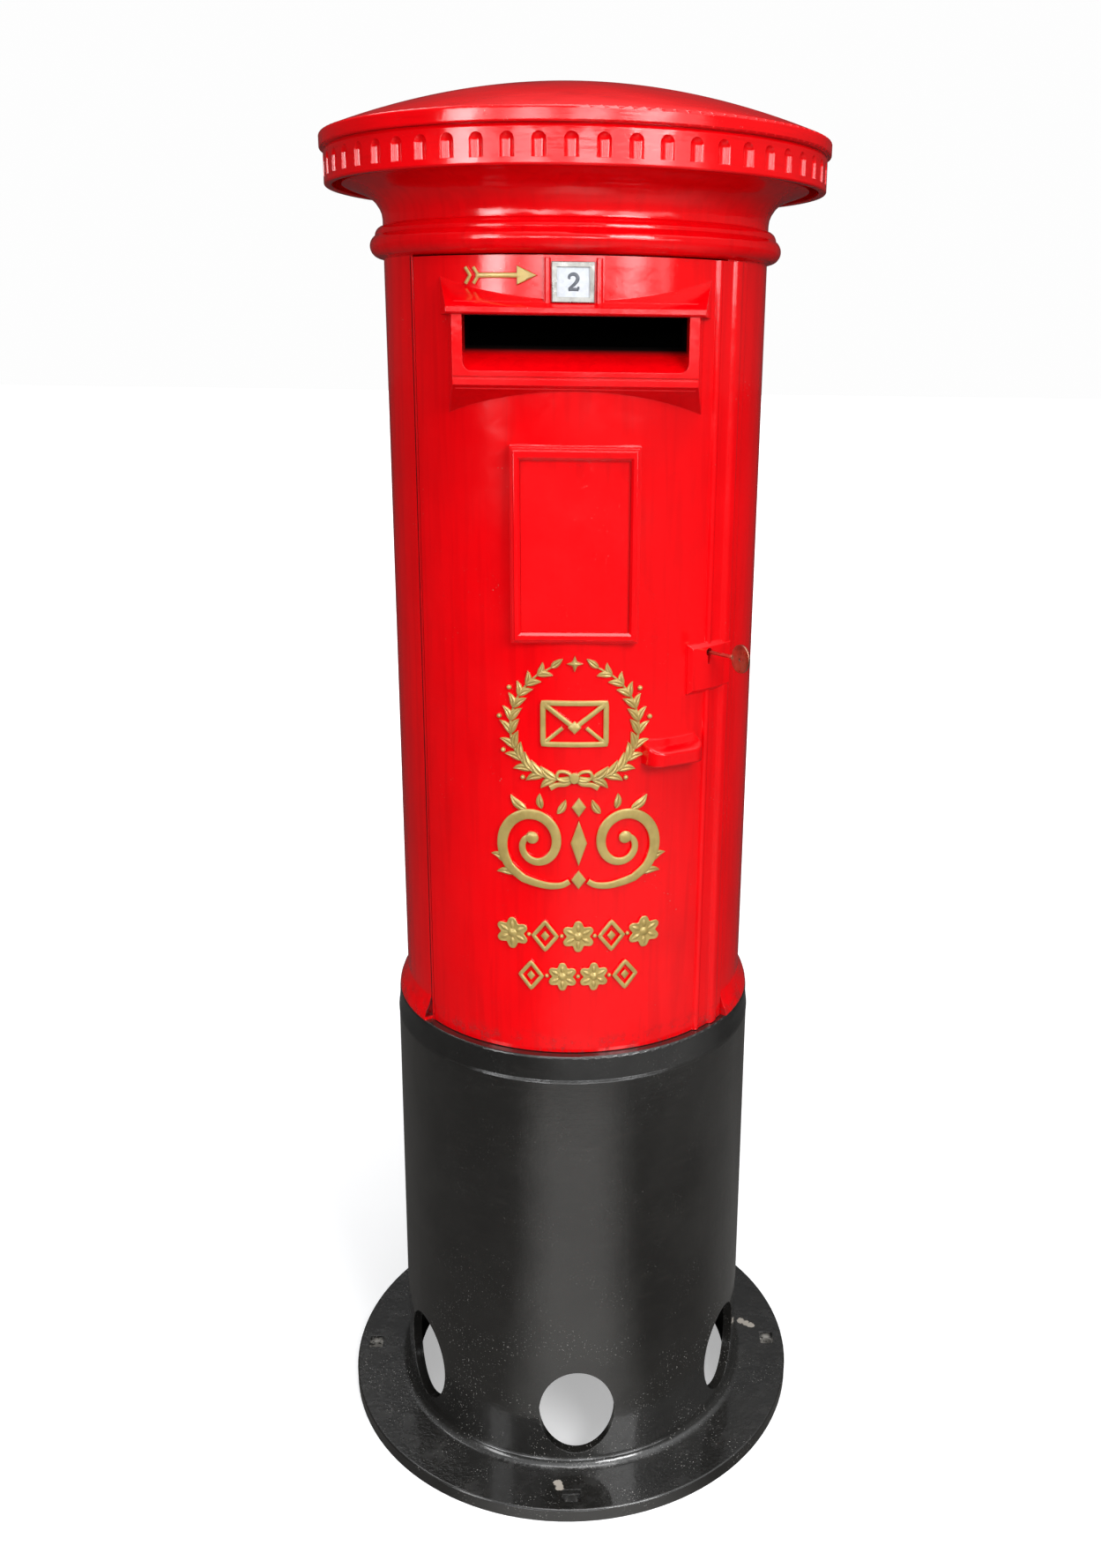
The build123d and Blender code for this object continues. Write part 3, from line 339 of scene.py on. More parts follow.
def enamel(name, colour, shade):
    k = Mat(name)
    x, y, z = k.xyz()
    n = k.bevel(0.0004)
    n = k.bump(k.noise(60.0, 3.0, 0.5), 0.00008, n)
    tone = k.mix(k.between(k.noise(90.0, 4.0, 0.6), 0.38, 0.7), colour, shade)
    grime = k.op("MULTIPLY", k.between(k.noise(330.0, 4.0, 0.7), 0.58, 0.72), 0.35)
    tone = k.mix(grime, tone, tuple(0.72 * c for c in shade))
    rough = k.between(k.noise(120.0, 3.0, 0.6), 0.3, 0.7, 0.22, 0.36)
    return k.surface(Base_Color=tone, Roughness=rough, IOR=1.5, Coat_Weight=0.3, Coat_Roughness=0.1, Normal=n)


RED_DOWN = red_paint("red_enamel_down")
RED_DOOR = red_paint("red_enamel_door", door=True)
RED_ROUND = red_paint("red_enamel_round", run="round", marks=1.25)
RED_FLAT = red_paint("red_enamel_flat", run="down", bevel=0.0009)
RED_SIDES = red_paint("red_enamel_relief", run="down", bevel=0.0010, marks=0.6)
BLACK = black_paint("black_gloss")
GOLD = gold_paint("gold_paint")
ZINC = metal("zinc_plate", (0.46, 0.46, 0.45), (0.30, 0.295, 0.28), (0.28, 0.46), rust=0.35)
BRIGHT = metal("nickel_frame", (0.47, 0.46, 0.43), (0.27, 0.26, 0.24), (0.24, 0.40), brush=(900, 900, 60), bevel=0.0006)
GALV = metal("galvanised_steel", (0.44, 0.46, 0.48), (0.29, 0.31, 0.33), (0.38, 0.58), cast=0.00008, rust=0.25)
# black paint on the chute, so dark that it is also painted shade for the slot
CHUTE_BLACK_AND_SHADE = matt_black("matt_black_paint_and_shade")
IRON = metal("bare_cast_iron", (0.085, 0.078, 0.072), (0.050, 0.046, 0.042), (0.50, 0.70), cast=0.0003, rust=0.55, bevel=0.0010, fine=170.0)
BRASS = metal("lock_brass", (0.58, 0.42, 0.17), (0.36, 0.25, 0.10), (0.24, 0.42), brush=(60, 60, 700))
KEYM = metal("key_bronze", (0.60, 0.27, 0.19), (0.36, 0.13, 0.085), (0.22, 0.42), brush=(500, 500, 60), rust=0.0)
PLATE = enamel("white_tablet", (0.66, 0.70, 0.75), (0.57, 0.61, 0.66))
FIGURE = enamel("tablet_figure", (0.10, 0.115, 0.14), (0.06, 0.07, 0.09))

by_node = {
    "base_casting": BLACK, "floor_plate": IRON, "body_casting": RED_DOWN, "cap_casting": RED_ROUND, "door_casting": RED_DOOR,
    "notice_frame": RED_FLAT, "notice_plate": RED_FLAT, "tablet_frame": BRIGHT, "day_tablet": PLATE,
    "aperture_chute": CHUTE_BLACK_AND_SHADE, "wire_guard": GALV, "guard_brackets": GALV,
    "lower_hinge_bracket": IRON, "upper_hinge_bracket": IRON, "lower_door_lug": IRON, "upper_door_lug": IRON,
    "hinge_bushes": BRASS, "lock_case": BRASS, "lock_cover": BRASS, "lever_pack": BRASS, "lock_bolt": BRASS, "lock_curtain": BRASS,
    "key": KEYM,
}


# ------------------------------------------------------------------ smooth shading of the CAD nodes
def weld_group(angle):
    g = bpy.data.node_groups.new("weld_and_smooth", "GeometryNodeTree")
    g.interface.new_socket("Geometry", in_out="INPUT", socket_type="NodeSocketGeometry")
    g.interface.new_socket("Geometry", in_out="OUTPUT", socket_type="NodeSocketGeometry")
    a, b = g.nodes.new("NodeGroupInput"), g.nodes.new("NodeGroupOutput")
    weld = g.nodes.new("GeometryNodeMergeByDistance")
    weld.inputs["Distance"].default_value = 2e-6
    faces = g.nodes.new("GeometryNodeSetShadeSmooth")
    faces.domain = "FACE"
    faces.inputs["Shade Smooth"].default_value = True
    edges = g.nodes.new("GeometryNodeSetShadeSmooth")
    edges.domain = "EDGE"
    edges.inputs["Shade Smooth"].default_value = False
    turn = g.nodes.new("GeometryNodeInputMeshEdgeAngle")
    test = g.nodes.new("FunctionNodeCompare")
    test.data_type, test.operation = "FLOAT", "GREATER_THAN"
    test.inputs[1].default_value = angle
    g.links.new(a.outputs[0], weld.inputs["Geometry"])
    g.links.new(weld.outputs[0], faces.inputs["Geometry"])
    g.links.new(faces.outputs[0], edges.inputs["Geometry"])
    g.links.new(turn.outputs["Unsigned Angle"], test.inputs[0])
    g.links.new(test.outputs[0], edges.inputs["Selection"])
    g.links.new(edges.outputs[0], b.inputs[0])
    return g


WELD = weld_group(math.radians(31))
for name, ob in nodes.items():
    ob.data.materials.clear()
    ob.data.materials.append(by_node.get(name, ZINC))
    m = ob.modifiers.new("weld_and_smooth", "NODES")
    m.node_group = WELD
    w = ob.modifiers.new("weighted", "WEIGHTED_NORMAL")
    w.mode, w.weight, w.keep_sharp = "FACE_AREA", 50, True


# ------------------------------------------------------------------ raised ornament on the door
R0 = 250.0
SINK = -1.4
FLAT = [(1, 1.1, None), (1, 0.25, 0.74), (1, -0.30, 0.95), (1, -1.0, 1.0), (0.5, 0, 1.03), (0, 0, 1.04)]
ROUND = [(1, 0.9, None), (1, 0.2, 0.45), (0.88, 0, 0.72), (0.62, 0, 0.92), (0.3, 0, 1.0), (0, 0, 1.02)]
RIDGE = [(1, 0.8, None), (1, 0.1, 0.46), (0.82, 0, 0.62), (0.42, 0, 0.74), (0.10, 0, 0.84), (0, 0, 1.0)]
VEIN = [(1, 0.8, None), (1, 0.1, 0.50), (0.80, 0, 0.80), (0.45, 0, 0.98), (0.16, 0, 0.90), (0, 0, 0.66)]


def wrap(x, h, z):
    """A point of the flat drawing, x and z in millimetres and h above the door, on the door's curve."""
    a = math.asin(max(-0.97, min(0.97, x / 254.0)))
    r = R0 + h
    return (r * math.sin(a) / 1000, -r * math.cos(a) / 1000, z / 1000)


def through(points, n, closed=False):
    """A smooth line through the points, evenly spaced."""
    p = np.array(points, float)
    m = len(p)
    out = []
    spans = m if closed else m - 1
    for i in range(spans):
        if closed:
            a, b, c, d = p[(i - 1) % m], p[i], p[(i + 1) % m], p[(i + 2) % m]
        else:
            b, c = p[i], p[i + 1]
            a = p[i - 1] if i else 2 * b - c
            d = p[i + 2] if i + 2 < m else 2 * c - b
        for t in np.linspace(0, 1, 24, endpoint=False):
            out.append(0.5 * (2 * b + (c - a) * t + (2 * a - 5 * b + 4 * c - d) * t * t + (3 * b - a - 3 * c + d) * t ** 3))
    if not closed:
        out.append(p[-1])
    out = np.array(out)
    ring = np.vstack([out, out[:1]]) if closed else out
    s = np.concatenate([[0], np.cumsum(np.linalg.norm(np.diff(ring, axis=0), axis=1))])
    at = np.linspace(0, s[-1], n + (1 if closed else 0))
    line = np.stack([np.interp(at, s, ring[:, 0]), np.interp(at, s, ring[:, 1])], 1)
    return line[:-1] if closed else line


class Relief:
    """A cast ornament made of closed raised strokes and plates, gold on top and red down the sides."""

    def __init__(self, name, place=wrap):
        self.name, self.v, self.f, self.m, self.place = name, [], [], [], place

    def stroke(self, line, width, height, profile=FLAT, closed=False, base=0.0, gold=True):
        line = np.asarray(line, float)
        n = len(line)
        if closed:
            t = np.roll(line, -1, 0) - np.roll(line, 1, 0)
        else:
            t = np.gradient(line, axis=0)
        t = t / np.maximum(np.linalg.norm(t, axis=1, keepdims=True), 1e-9)
        nrm = np.stack([-t[:, 1], t[:, 0]], 1)
        full = [(-u, -e, k) for u, e, k in profile] + [(u, e, k) for u, e, k in profile[-2::-1]]
        first = len(self.v)
        for i in range(n):
            s = i / (n - 1 if not closed else n)
            w = (width(s) if callable(width) else width) / 2
            h = (height(s) if callable(height) else height)
            for u, e, k in full:
                off = u * w
                lim = abs(off) * 0.75
                e2 = e if e * off >= 0 else math.copysign(min(abs(e), lim), e)
                p = line[i] + nrm[i] * (off + e2)
                self.v.append(self.place(p[0], SINK if k is None else base + k * h, p[1]))
        c = len(full)
        spans = n if closed else n - 1
        for i in range(spans):
            for j in range(c - 1):
                a, b = first + i * c + j, first + ((i + 1) % n) * c + j
                self.f.append((a, a + 1, b + 1, b))
                self.m.append(0 if (gold and 0 < j < c - 2) else 1)
            a, b = first + i * c, first + ((i + 1) % n) * c
            self.f.append((a + c - 1, a, b, b + c - 1))
            self.m.append(1)
        if not closed:
            self.f.append(tuple(first + j for j in range(c))[::-1])
            self.f.append(tuple(first + (n - 1) * c + j for j in range(c)))
            self.m += [1, 1]

    def plate(self, cx, cz, outline, height, dome=0.0, base=0.0, rings=(0.2, 0.4, 0.6, 0.78, 0.9), gold=True, soft=1.0, hollow=0.0):
        """A raised plate whose outline can be seen whole from its middle."""
        o = np.asarray(outline, float)
        n = len(o)
        lens = np.maximum(np.linalg.norm(o, axis=1, keepdims=True), 1e-6)
        d = o / lens
        loops = []
        for s in rings:
            loops.append((o * s, base + height * (1 + dome * (1 - s * s)) - hollow * (1 - s * s)))
        loops.append((o - d * np.minimum(1.0 * soft, 0.25 * lens), base + height))
        loops.append((o - d * np.minimum(0.3 * soft, 0.1 * lens), base + height * 0.95 - 0.05))
        loops.append((o + d * 0.25, base + height * 0.74))
        loops.append((o + d * 1.1, SINK))
        first = len(self.v)
        self.v.append(self.place(cx, base + height * (1 + dome) - hollow, cz))
        for pts, h in loops:
            for p in pts:
                self.v.append(self.place(cx + p[0], h, cz + p[1]))
        for j in range(n):
            self.f.append((first, first + 1 + j, first + 1 + (j + 1) % n))
            self.m.append(0 if gold else 1)
        for i in range(len(loops) - 1):
            for j in range(n):
                a, b = first + 1 + i * n + j, first + 1 + i * n + (j + 1) % n
                self.f.append((a, a + n, b + n, b))
                self.m.append(0 if gold and i < len(loops) - 2 else 1)
        last = first + 1 + (len(loops) - 1) * n
        self.f.append(tuple(last + j for j in range(n))[::-1])
        self.m.append(1)

    def bead(self, cx, cz, r, height):
        """A small round boss."""
        n = 20
        ring = [(math.cos(2 * math.pi * j / n), math.sin(2 * math.pi * j / n)) for j in range(n)]
        loops = [(r * math.sin(a), height * (0.25 + 0.75 * math.cos(a))) for a in (0.3, 0.6, 0.9, 1.2, 1.5)]
        loops.append((r * 1.06, SINK))
        first = len(self.v)
        self.v.append(self.place(cx, height, cz))
        for rr, h in loops:
            for c, s in ring:
                self.v.append(self.place(cx + rr * c, h, cz + rr * s))
        for j in range(n):
            self.f.append((first, first + 1 + j, first + 1 + (j + 1) % n))
            self.m.append(0)
        for i in range(len(loops) - 1):
            for j in range(n):
                a, b = first + 1 + i * n + j, first + 1 + i * n + (j + 1) % n
                self.f.append((a, a + n, b + n, b))
                self.m.append(0 if i < len(loops) - 2 else 1)
        last = first + 1 + (len(loops) - 1) * n
        self.f.append(tuple(last + j for j in range(n))[::-1])
        self.m.append(1)

    def leaf(self, x, z, angle, length, width, height, bend=0.12, profile=VEIN):
        a = math.radians(angle)
        u, w = np.array([math.cos(a), math.sin(a)]), np.array([-math.sin(a), math.cos(a)])
        line = [np.array([x, z]) + u * length * t + w * bend * length * math.sin(math.pi * t) for t in np.linspace(0, 1, 15)]
        self.stroke(line, lambda s: max(0.3, width * (math.sin(math.pi * min(1, s ** 0.8 * 0.985 + 0.015)) ** 0.8)),
                    lambda s: height * (0.72 + 0.28 * math.sin(math.pi * min(1.0, s + 0.1))), profile)

    def done(self, body="door", mats=None, sharp=38.0):
        me = bpy.data.meshes.new(self.name)
        me.from_pydata([tuple(p) for p in self.v], [], self.f)
        for mat in mats or (GOLD, RED_SIDES):
            me.materials.append(mat)
        me.polygons.foreach_set("material_index", np.array(self.m, np.int32))
        me.polygons.foreach_set("use_smooth", np.ones(len(me.polygons), bool))
        me.validate()
        import bmesh
        bm = bmesh.new()
        bm.from_mesh(me)
        bmesh.ops.recalc_face_normals(bm, faces=bm.faces)
        bm.to_mesh(me)
        bm.free()
        me.set_sharp_from_angle(angle=math.radians(sharp))
        ob = bpy.data.objects.new(self.name, me)
        scene.collection.objects.link(ob)
        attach(ob, body)
        return ob


def circle(r, n=40, rx=1.0, rz=1.0):
    return [(r * rx * math.cos(2 * math.pi * j / n), r * rz * math.sin(2 * math.pi * j / n)) for j in range(n)]


def lobed(r, lobes, depth, n=96, turn=0.0):
    out = []
    for j in range(n):
        a = 2 * math.pi * j / n
        k = r * (1 - depth * (0.5 - 0.5 * math.cos(lobes * (a - turn))) ** 1.4)
        out.append((k * math.cos(a), k * math.sin(a)))
    return out


def polygon(corners, per=8):
    out = []
    for i, c in enumerate(corners):
        d = corners[(i + 1) % len(corners)]
        for t in np.linspace(0, 1, per, endpoint=False):
            out.append((c[0] + (d[0] - c[0]) * t, c[1] + (d[1] - c[1]) * t))
    return out


# a laurel wreath round a plain envelope
wreath = Relief("wreath_relief")
for s in (-1, 1):
    ctrl = [(0, 1092), (s * 28, 1090), (s * 58, 1102), (s * 78, 1130), (s * 82, 1163), (s * 72, 1196), (s * 52, 1221), (s * 30, 1235)]
    stem = through(ctrl, 90)
    wreath.stroke(stem, lambda t: 4.6 - 2.6 * t, lambda t: 4.4 - 1.4 * t, ROUND)
    for i in range(11):
        k = int(9 + i * 7.2)
        p, q = stem[k], stem[min(k + 2, 89)]
        d = math.degrees(math.atan2(q[1] - p[1], q[0] - p[0]))
        size = 1.0 - 0.028 * i
        wreath.leaf(p[0], p[1], d + s * 33, 27 * size, 11.5 * size, 5.2, bend=-0.10 * s)
        wreath.leaf(p[0], p[1], d - s * 36, 25 * size, 10.5 * size, 4.8, bend=0.12 * s)
        if i % 2 == 0 and 0 < i < 10:
            a = math.radians(d - s * 80)
            wreath.bead(p[0] + 15.5 * math.cos(a), p[1] + 15.5 * math.sin(a), 3.1, 5.2)
    wreath.leaf(stem[-1][0], stem[-1][1], 90 + s * 52, 19, 8.5, 4.6, bend=0)
# ribbon that ties the stems
for s in (-1, 1):
    wreath.stroke(through([(0, 1092), (s * 10, 1099), (s * 20, 1099), (s * 22, 1091), (s * 12, 1087), (0, 1091)], 34), 4.2, 5.6, ROUND)
    wreath.stroke(through([(s * 2, 1089), (s * 10, 1083), (s * 22, 1082), (s * 31, 1077.5)], 22), lambda t: 4.0 + 3.0 * t, 4.4, FLAT)
wreath.plate(0, 1091.5, circle(6.4, 26, 1.0, 1.15), 6.4, dome=0.10)
# star between the tips
star = []
for j in range(8):
    a = math.pi / 4 * j + math.pi / 2
    star.append((math.cos(a) * (10.5 if j % 2 == 0 else 4.1), math.sin(a) * (10.5 if j % 2 == 0 else 4.1)))
wreath.plate(0, 1240.5, polygon(star, 5), 3.4, dome=0.75, rings=(0.15, 0.35, 0.55, 0.75, 0.9))
# envelope: body, then its flap standing a little higher
wreath.stroke(np.array(polygon([(-40, -27), (40, -27), (40, 27), (-40, 27)], 18)) + np.array([0, 1163]), 6.6, 4.8, FLAT, closed=True)
for s in (-1, 1):
    wreath.stroke([(s * (38.0 - 38.0 * t), 1188.0 - 30.0 * t) for t in np.linspace(0, 1, 20)], 6.0, 5.0, FLAT)
    wreath.stroke([(s * (38.0 - 23.0 * t), 1138.0 + 20.0 * t) for t in np.linspace(0, 1, 14)], 4.6, 4.4, FLAT)
wreath.plate(0, 1158.5, polygon([(0, -8.5), (8.5, 0), (0, 8.5), (-8.5, 0)], 6), 5.6, dome=0.2)
wreath_ob = wreath.done()

# two scrolls with leaves either side of a column of lozenges
scroll = Relief("scroll_relief")
MX = 6.0
for s in (-1, 1):
    line = []
    for t in np.linspace(0, 1, 110):
        a = math.radians(-75 + 505 * t)
        r = 40.0 * (1 - t) ** 0.85 + 7.5
        line.append((MX + s * (58.0 + r * math.cos(a) * 0.98), 1001.0 + r * math.sin(a) * 1.10))
    lead = through([(MX + s * 12, 950), (MX + s * 22, 944.5), (MX + s * 38, 943), (MX + s * 55, 946), line[0], line[3]], 30)[:-3]
    line = through(list(lead[::4]) + line[1::6] + [line[-1]], 150)
    scroll.stroke(line, lambda t: 4.5 + 9.0 * math.sin(math.pi * min(1.0, 0.08 + 0.86 * t)) ** 0.9, 5.4, FLAT)
    end = line[-1]
    scroll.plate(end[0], end[1], circle(8.2, 30), 5.4, dome=0.30)
    scroll.leaf(MX + s * 92, 968, 90 - s * 62, 26, 12, 5.0, bend=0.15 * s)
    scroll.leaf(MX + s * 84, 955, 90 - s * 88, 24, 10, 4.8, bend=0.12 * s)
    scroll.leaf(MX + s * 68, 1047, 90 - s * 50, 27, 11.5, 5.0, bend=-0.12 * s)
    scroll.leaf(MX + s * 48, 1049, 90 - s * 8, 20, 9.5, 4.8, bend=-0.08 * s)
    scroll.leaf(MX + s * 28, 1043, 90 + s * 30, 22, 9.5, 4.8, bend=0.08 * s)
scroll.plate(MX, 1003, polygon([(0, -31), (10.5, 0), (0, 31), (-10.5, 0)], 12), 5.4, dome=0.22)
scroll.plate(MX, 952, polygon([(0, -13), (9.5, 0), (0, 13), (-9.5, 0)], 8), 5.0, dome=0.22)
scroll.plate(MX, 1052, polygon([(0, -13), (9.0, 0), (0, 13), (-9.0, 0)], 8), 5.0, dome=0.22)
scroll_ob = scroll.done()

# two rows of small rosettes and lozenges
rows = Relief("rosette_rows_relief")


def rosette(x, z, r):
    rows.plate(x, z, lobed(r, 6, 0.30, 96, math.pi / 2), 4.0, hollow=0.9, soft=0.8)
    rows.bead(x, z, r * 0.30, 5.4)
    for j in range(6):
        a = math.pi / 2 + math.pi / 3 * j
        rows.leaf(x + math.cos(a) * r * 0.30, z + math.sin(a) * r * 0.30, math.degrees(a), r * 0.60, r * 0.26, 4.9, bend=0, profile=ROUND)


def lozenge(x, z, w, h):
    ring = through(polygon([(0, -h), (w, 0), (0, h), (-w, 0)], 1), 64, closed=True)
    ring = np.array(polygon([(0, -h), (w, 0), (0, h), (-w, 0)], 12)) + np.array([x, z])
    rows.stroke(ring, 5.0, 4.6, FLAT, closed=True)
    rows.plate(x, z, polygon([(0, -h * 0.36), (w * 0.36, 0), (0, h * 0.36), (-w * 0.36, 0)], 5), 4.2, dome=0.2)


for j, dx in enumerate((-88, -44, 0, 44, 88)):
    if j % 2 == 0:
        rosette(MX + dx, 871, 22.0)
    else:
        lozenge(MX + dx, 871, 15.5, 20.0)
for dx in (-66, -22, 22, 66):
    rows.bead(MX + dx, 871, 2.8, 4.2)
for j, dx in enumerate((-63, -21, 21, 63)):
    if j in (0, 3):
        lozenge(MX + dx, 812.5, 14.5, 19.0)
    else:
        rosette(MX + dx, 812.5, 20.0)
for dx in (-42, 0, 42):
    rows.bead(MX + dx, 812.5, 2.8, 4.2)
rows_ob = rows.done()

# small arrow that points to the day tablet
arrow = Relief("arrow_relief")
arrow.stroke([(x, 1697.0) for x in np.linspace(-118, -66, 30)], 5.2, 2.6, FLAT)
arrow.plate(-58, 1697, polygon([(-11, -10.5), (12, 0), (-11, 10.5)], 10), 2.8)
for x in (-126.0, -116.0):
    arrow.stroke([(x - 5 + 6 * (1 - abs(t)), 1697 + 9.0 * t) for t in np.linspace(-1, 1, 17)], 3.6, 2.6, FLAT)
arrow_ob = arrow.done()

# ------------------------------------------------------------------ figure on the day tablet
TX, TZ, TY = -3.2, 1689.8, -256.5


def on_plate(x, h, z):
    return ((TX + x) / 1000, (TY - h) / 1000, (TZ + z) / 1000)


figure = Relief("tablet_figure", place=on_plate)
SINK = -0.05
two = through([(-5.2, 3.4), (-4.6, 6.6), (-1.4, 8.6), (2.4, 8.1), (4.9, 5.0), (4.0, 1.2), (0.6, -2.8), (-3.2, -5.9), (-5.4, -8.0)], 60)
figure.stroke(two, lambda t: 1.5 + 1.3 * math.sin(math.pi * min(1, t + 0.05)) ** 2, 0.12, FLAT)
figure.stroke([(x, -8.2 + 0.35 * math.sin((x + 5.6) / 11.6 * math.pi)) for x in np.linspace(-5.9, 6.0, 24)], lambda t: 2.0, 0.12, FLAT)
figure.stroke([(5.3 + 0.6 * t, -7.9 + 3.2 * t) for t in np.linspace(0, 1, 8)], lambda t: 1.6 - 0.9 * t, 0.12, FLAT)
figure.bead(-4.6, 4.3, 1.35, 0.12)
figure_ob = figure.done("tablet", (FIGURE, FIGURE))

# ------------------------------------------------------------------ camera
cam_data = bpy.data.cameras.new("camera")
cam = bpy.data.objects.new("camera", cam_data)
scene.collection.objects.link(cam)
right = Vector((0.99942261, -0.03116323, 0.01353852))
up = Vector((-0.00375496, 0.29471631, 0.95557742))
back = -Vector((0.0337689, 0.95507652, -0.29442913))
rot = Matrix((right, up, back)).transposed().to_4x4()
cam.matrix_world = Matrix.Translation(Vector((0.0, -1.93395, 1.63227))) @ rot
cam_data.sensor_fit = "AUTO"
cam_data.sensor_width = 36.0
cam_data.lens = 1567.887 / 1778.0 * 36.0
cam_data.shift_x = -(704.633 - 624.5) / 1778.0
cam_data.shift_y = (863.353 - 889.0) / 1778.0
cam_data.clip_start, cam_data.clip_end = 0.02, 200.0
cam_data.dof.use_dof = False
scene.camera = cam

# ------------------------------------------------------------------ floor and light
floor_mesh = bpy.data.meshes.new("floor")
floor_mesh.from_pydata([(-40, -40, 0), (40, -40, 0), (40, 40, 0), (-40, 40, 0)], [], [(0, 1, 2, 3)])
floor = bpy.data.objects.new("floor", floor_mesh)
floor.location = (0, 0, -0.0004)
scene.collection.objects.link(floor)
k = Mat("pale_floor")
tone = k.mix(k.between(k.noise(2.5, 4.0, 0.6), 0.3, 0.7), (0.82, 0.82, 0.825), (0.80, 0.80, 0.805))
pale = k.add("ShaderNodeBsdfPrincipled")
k.put(pale.inputs["Base Color"], tone)
pale.inputs["Roughness"].default_value = 0.8
pale.inputs["Specular IOR Level"].default_value = 0.1
pale.inputs["Emission Color"].default_value = (1, 1, 1, 1)
pale.inputs["Emission Strength"].default_value = 0.0
# what the gloss paint mirrors: paler ground to the front right, darker elsewhere
fx, fy, fz = k.xyz()
turn = k.op("MULTIPLY", k.op("ARCTAN2", fx, k.op("MULTIPLY", fy, -1.0)), 180.0 / math.pi)
band = k.op("MULTIPLY", k.between(turn, -30.0, 6.0), k.between(turn, 112.0, 60.0))
grey = k.mix(band, (0.05, 0.05, 0.05), (0.26, 0.26, 0.26))
# close to the box the paving is paler, in two patches
away = k.op("SQRT", k.op("ADD", k.op("MULTIPLY", fx, fx), k.op("MULTIPLY", fy, fy)))
patch = k.op("MULTIPLY", k.between(turn, -36.0, -8.0), k.between(turn, 40.0, 10.0))
patch = k.op("ADD", patch, k.op("MULTIPLY", k.op("MULTIPLY", k.between(turn, 66.0, 96.0), k.between(turn, 140.0, 116.0)), 0.10), clamp=True)
close = k.between(away, 1.75, 1.20)
grey = k.mix(close, grey, (0.085, 0.082, 0.078))
grey = k.mix(k.op("MULTIPLY", patch, close), grey, (0.56, 0.55, 0.53))
mirror = k.add("ShaderNodeBsdfDiffuse")
k.put(mirror.inputs["Color"], grey)
ray = k.add("ShaderNodeLightPath")
both = k.add("ShaderNodeMixShader")
k.put(both.inputs[0], ray.outputs["Is Glossy Ray"])
k.put(both.inputs[1], pale.outputs[0])
k.put(both.inputs[2], mirror.outputs[0])
glow = k.add("ShaderNodeEmission")
k.put(glow.inputs["Strength"], k.between(away, 0.6, 4.0, 0.40, 1.05))
added = k.add("ShaderNodeAddShader")
k.put(added.inputs[0], pale.outputs[0])
k.put(added.inputs[1], glow.outputs[0])
dim = k.add("ShaderNodeBsdfDiffuse")
dim.inputs["Color"].default_value = (0.30, 0.30, 0.30, 1)
bounce = k.add("ShaderNodeMixShader")
k.put(bounce.inputs[0], ray.outputs["Is Diffuse Ray"])
k.put(bounce.inputs[1], both.outputs[0])
k.put(bounce.inputs[2], dim.outputs[0])
eye = k.add("ShaderNodeMixShader")
k.put(eye.inputs[0], ray.outputs["Is Camera Ray"])
k.put(eye.inputs[1], bounce.outputs[0])
k.put(eye.inputs[2], added.outputs[0])
k.put(k.out.inputs["Surface"], eye.outputs[0])
floor_mesh.materials.append(k.m)

world = bpy.data.worlds.new("world")
scene.world = world
world.use_nodes = True
wt = world.node_tree
wt.nodes.clear()


def wnode(kind, **props):
    n = wt.nodes.new(kind)
    for key, v in props.items():
        setattr(n, key, v)
    return n


def wmath(what, a, b=0.0, clamp=False):
    n = wnode("ShaderNodeMath", operation=what, use_clamp=clamp)
    for sock, v in zip(n.inputs, (a, b)):
        if hasattr(v, "is_linked"):
            wt.links.new(v, sock)
        else:
            sock.default_value = v
    return n.outputs[0]


def wstep(x, a, b, y0, y1):
    n = wnode("ShaderNodeMapRange", interpolation_type="SMOOTHSTEP")
    wt.links.new(x, n.inputs["Value"])
    for key, v in (("From Min", a), ("From Max", b), ("To Min", y0), ("To Max", y1)):
        n.inputs[key].default_value = v
    return n.outputs["Result"]


wo = wnode("ShaderNodeOutputWorld")
tc = wnode("ShaderNodeTexCoord")
sep = wnode("ShaderNodeSeparateXYZ")
wt.links.new(tc.outputs["Generated"], sep.inputs[0])
wx, wy, wz = sep.outputs
# soft sky: brighter overhead and to the front right, darker round the back
height = wmath("ADD", wstep(wz, 0.40, 0.95, 0.09, 1.05), 0.0)
side = wmath("ADD", wmath("MULTIPLY", wx, 0.60), wmath("MULTIPLY", wy, -0.80))
lift = wstep(side, -0.3, 0.95, 0.50, 2.4)
level = wmath("MULTIPLY", height, lift)
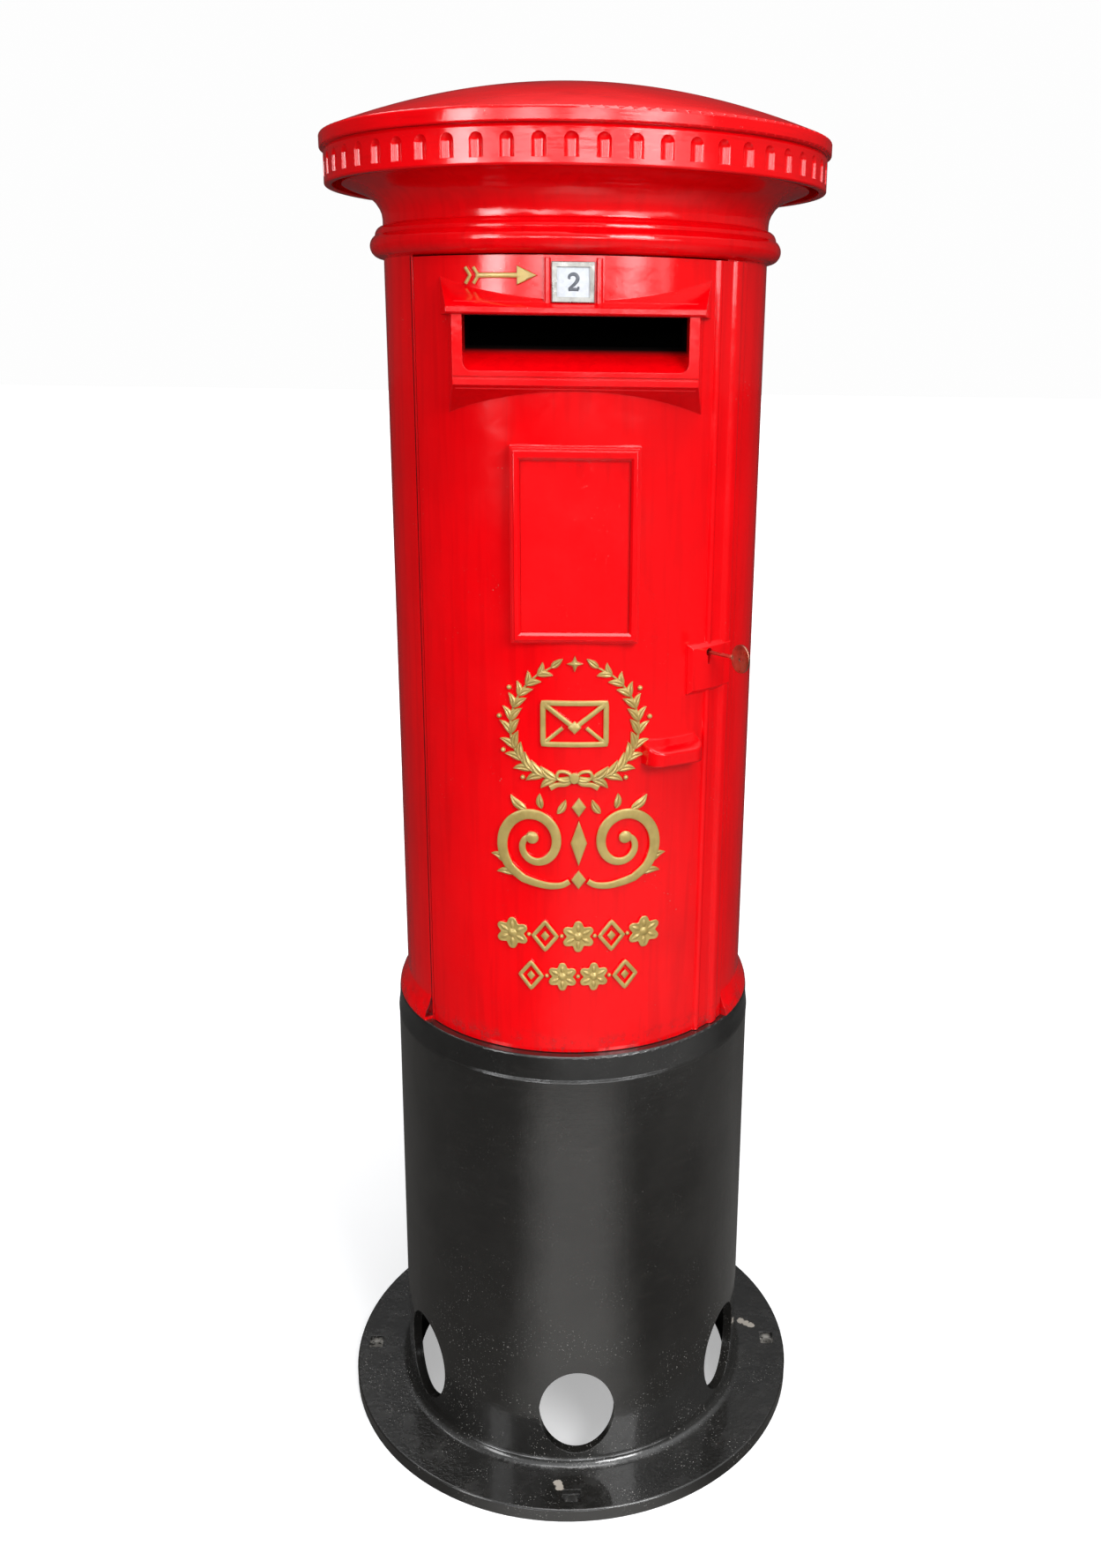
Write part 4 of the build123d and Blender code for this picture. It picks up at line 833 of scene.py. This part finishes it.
# a bright strip low in front, broken as by window bars, for the crisp glints on the cap, the cove and the collar
heading = wmath("MULTIPLY", wmath("ARCTAN2", wx, wmath("MULTIPLY", wy, -1.0)), 180.0 / math.pi)
strip = wmath("MULTIPLY", wstep(wz, 0.015, 0.035, 0.0, 1.0), wstep(wz, 0.150, 0.175, 1.0, 0.0))
strip = wmath("MULTIPLY", strip, wmath("MULTIPLY", wstep(heading, -62.0, -50.0, 0.0, 1.0), wstep(heading, 44.0, 60.0, 1.0, 0.0)))
bars = wmath("ADD", 0.62, wmath("MULTIPLY", 0.38, wmath("SINE", wmath("MULTIPLY", heading, 0.24))))
level = wmath("ADD", level, wmath("MULTIPLY", wmath("MULTIPLY", strip, bars), 8.5))
studio = wnode("ShaderNodeBackground")
studio.inputs["Color"].default_value = (0.97, 0.985, 1.0, 1)
wt.links.new(level, studio.inputs["Strength"])
plain = wnode("ShaderNodeBackground")
plain.inputs["Color"].default_value = (0.985, 0.985, 0.985, 1)
plain.inputs["Strength"].default_value = 1.0
seen = wnode("ShaderNodeLightPath")
mixw = wnode("ShaderNodeMixShader")
wt.links.new(seen.outputs["Is Camera Ray"], mixw.inputs[0])
wt.links.new(studio.outputs[0], mixw.inputs[1])
wt.links.new(plain.outputs[0], mixw.inputs[2])
wt.links.new(mixw.outputs[0], wo.inputs["Surface"])


def area(name, loc, target, size, size_y, power, colour=(1, 1, 1)):
    d = bpy.data.lights.new(name, "AREA")
    d.shape, d.size, d.size_y, d.energy, d.color = "RECTANGLE", size, size_y, power, colour
    o = bpy.data.objects.new(name, d)
    scene.collection.objects.link(o)
    o.location = loc
    o.rotation_mode = "QUATERNION"
    o.rotation_quaternion = (Vector(target) - Vector(loc)).to_track_quat("-Z", "Y")
    return o


area("key", (1.7, -3.0, 2.9), (0, 0, 1.0), 1.5, 1.1, 78)
area("fill", (-2.4, -2.2, 2.3), (0, 0, 0.9), 0.8, 1.6, 26)
area("top", (0.1, -0.8, 4.4), (0, 0, 1.4), 2.0, 1.6, 46)
area("rear", (-1.6, 1.9, 4.4), (0, 0, 1.0), 1.0, 1.0, 16)

scene.view_settings.view_transform = "Standard"
scene.view_settings.look = "None"
scene.view_settings.exposure = 0.0
scene.view_settings.gamma = 1.0
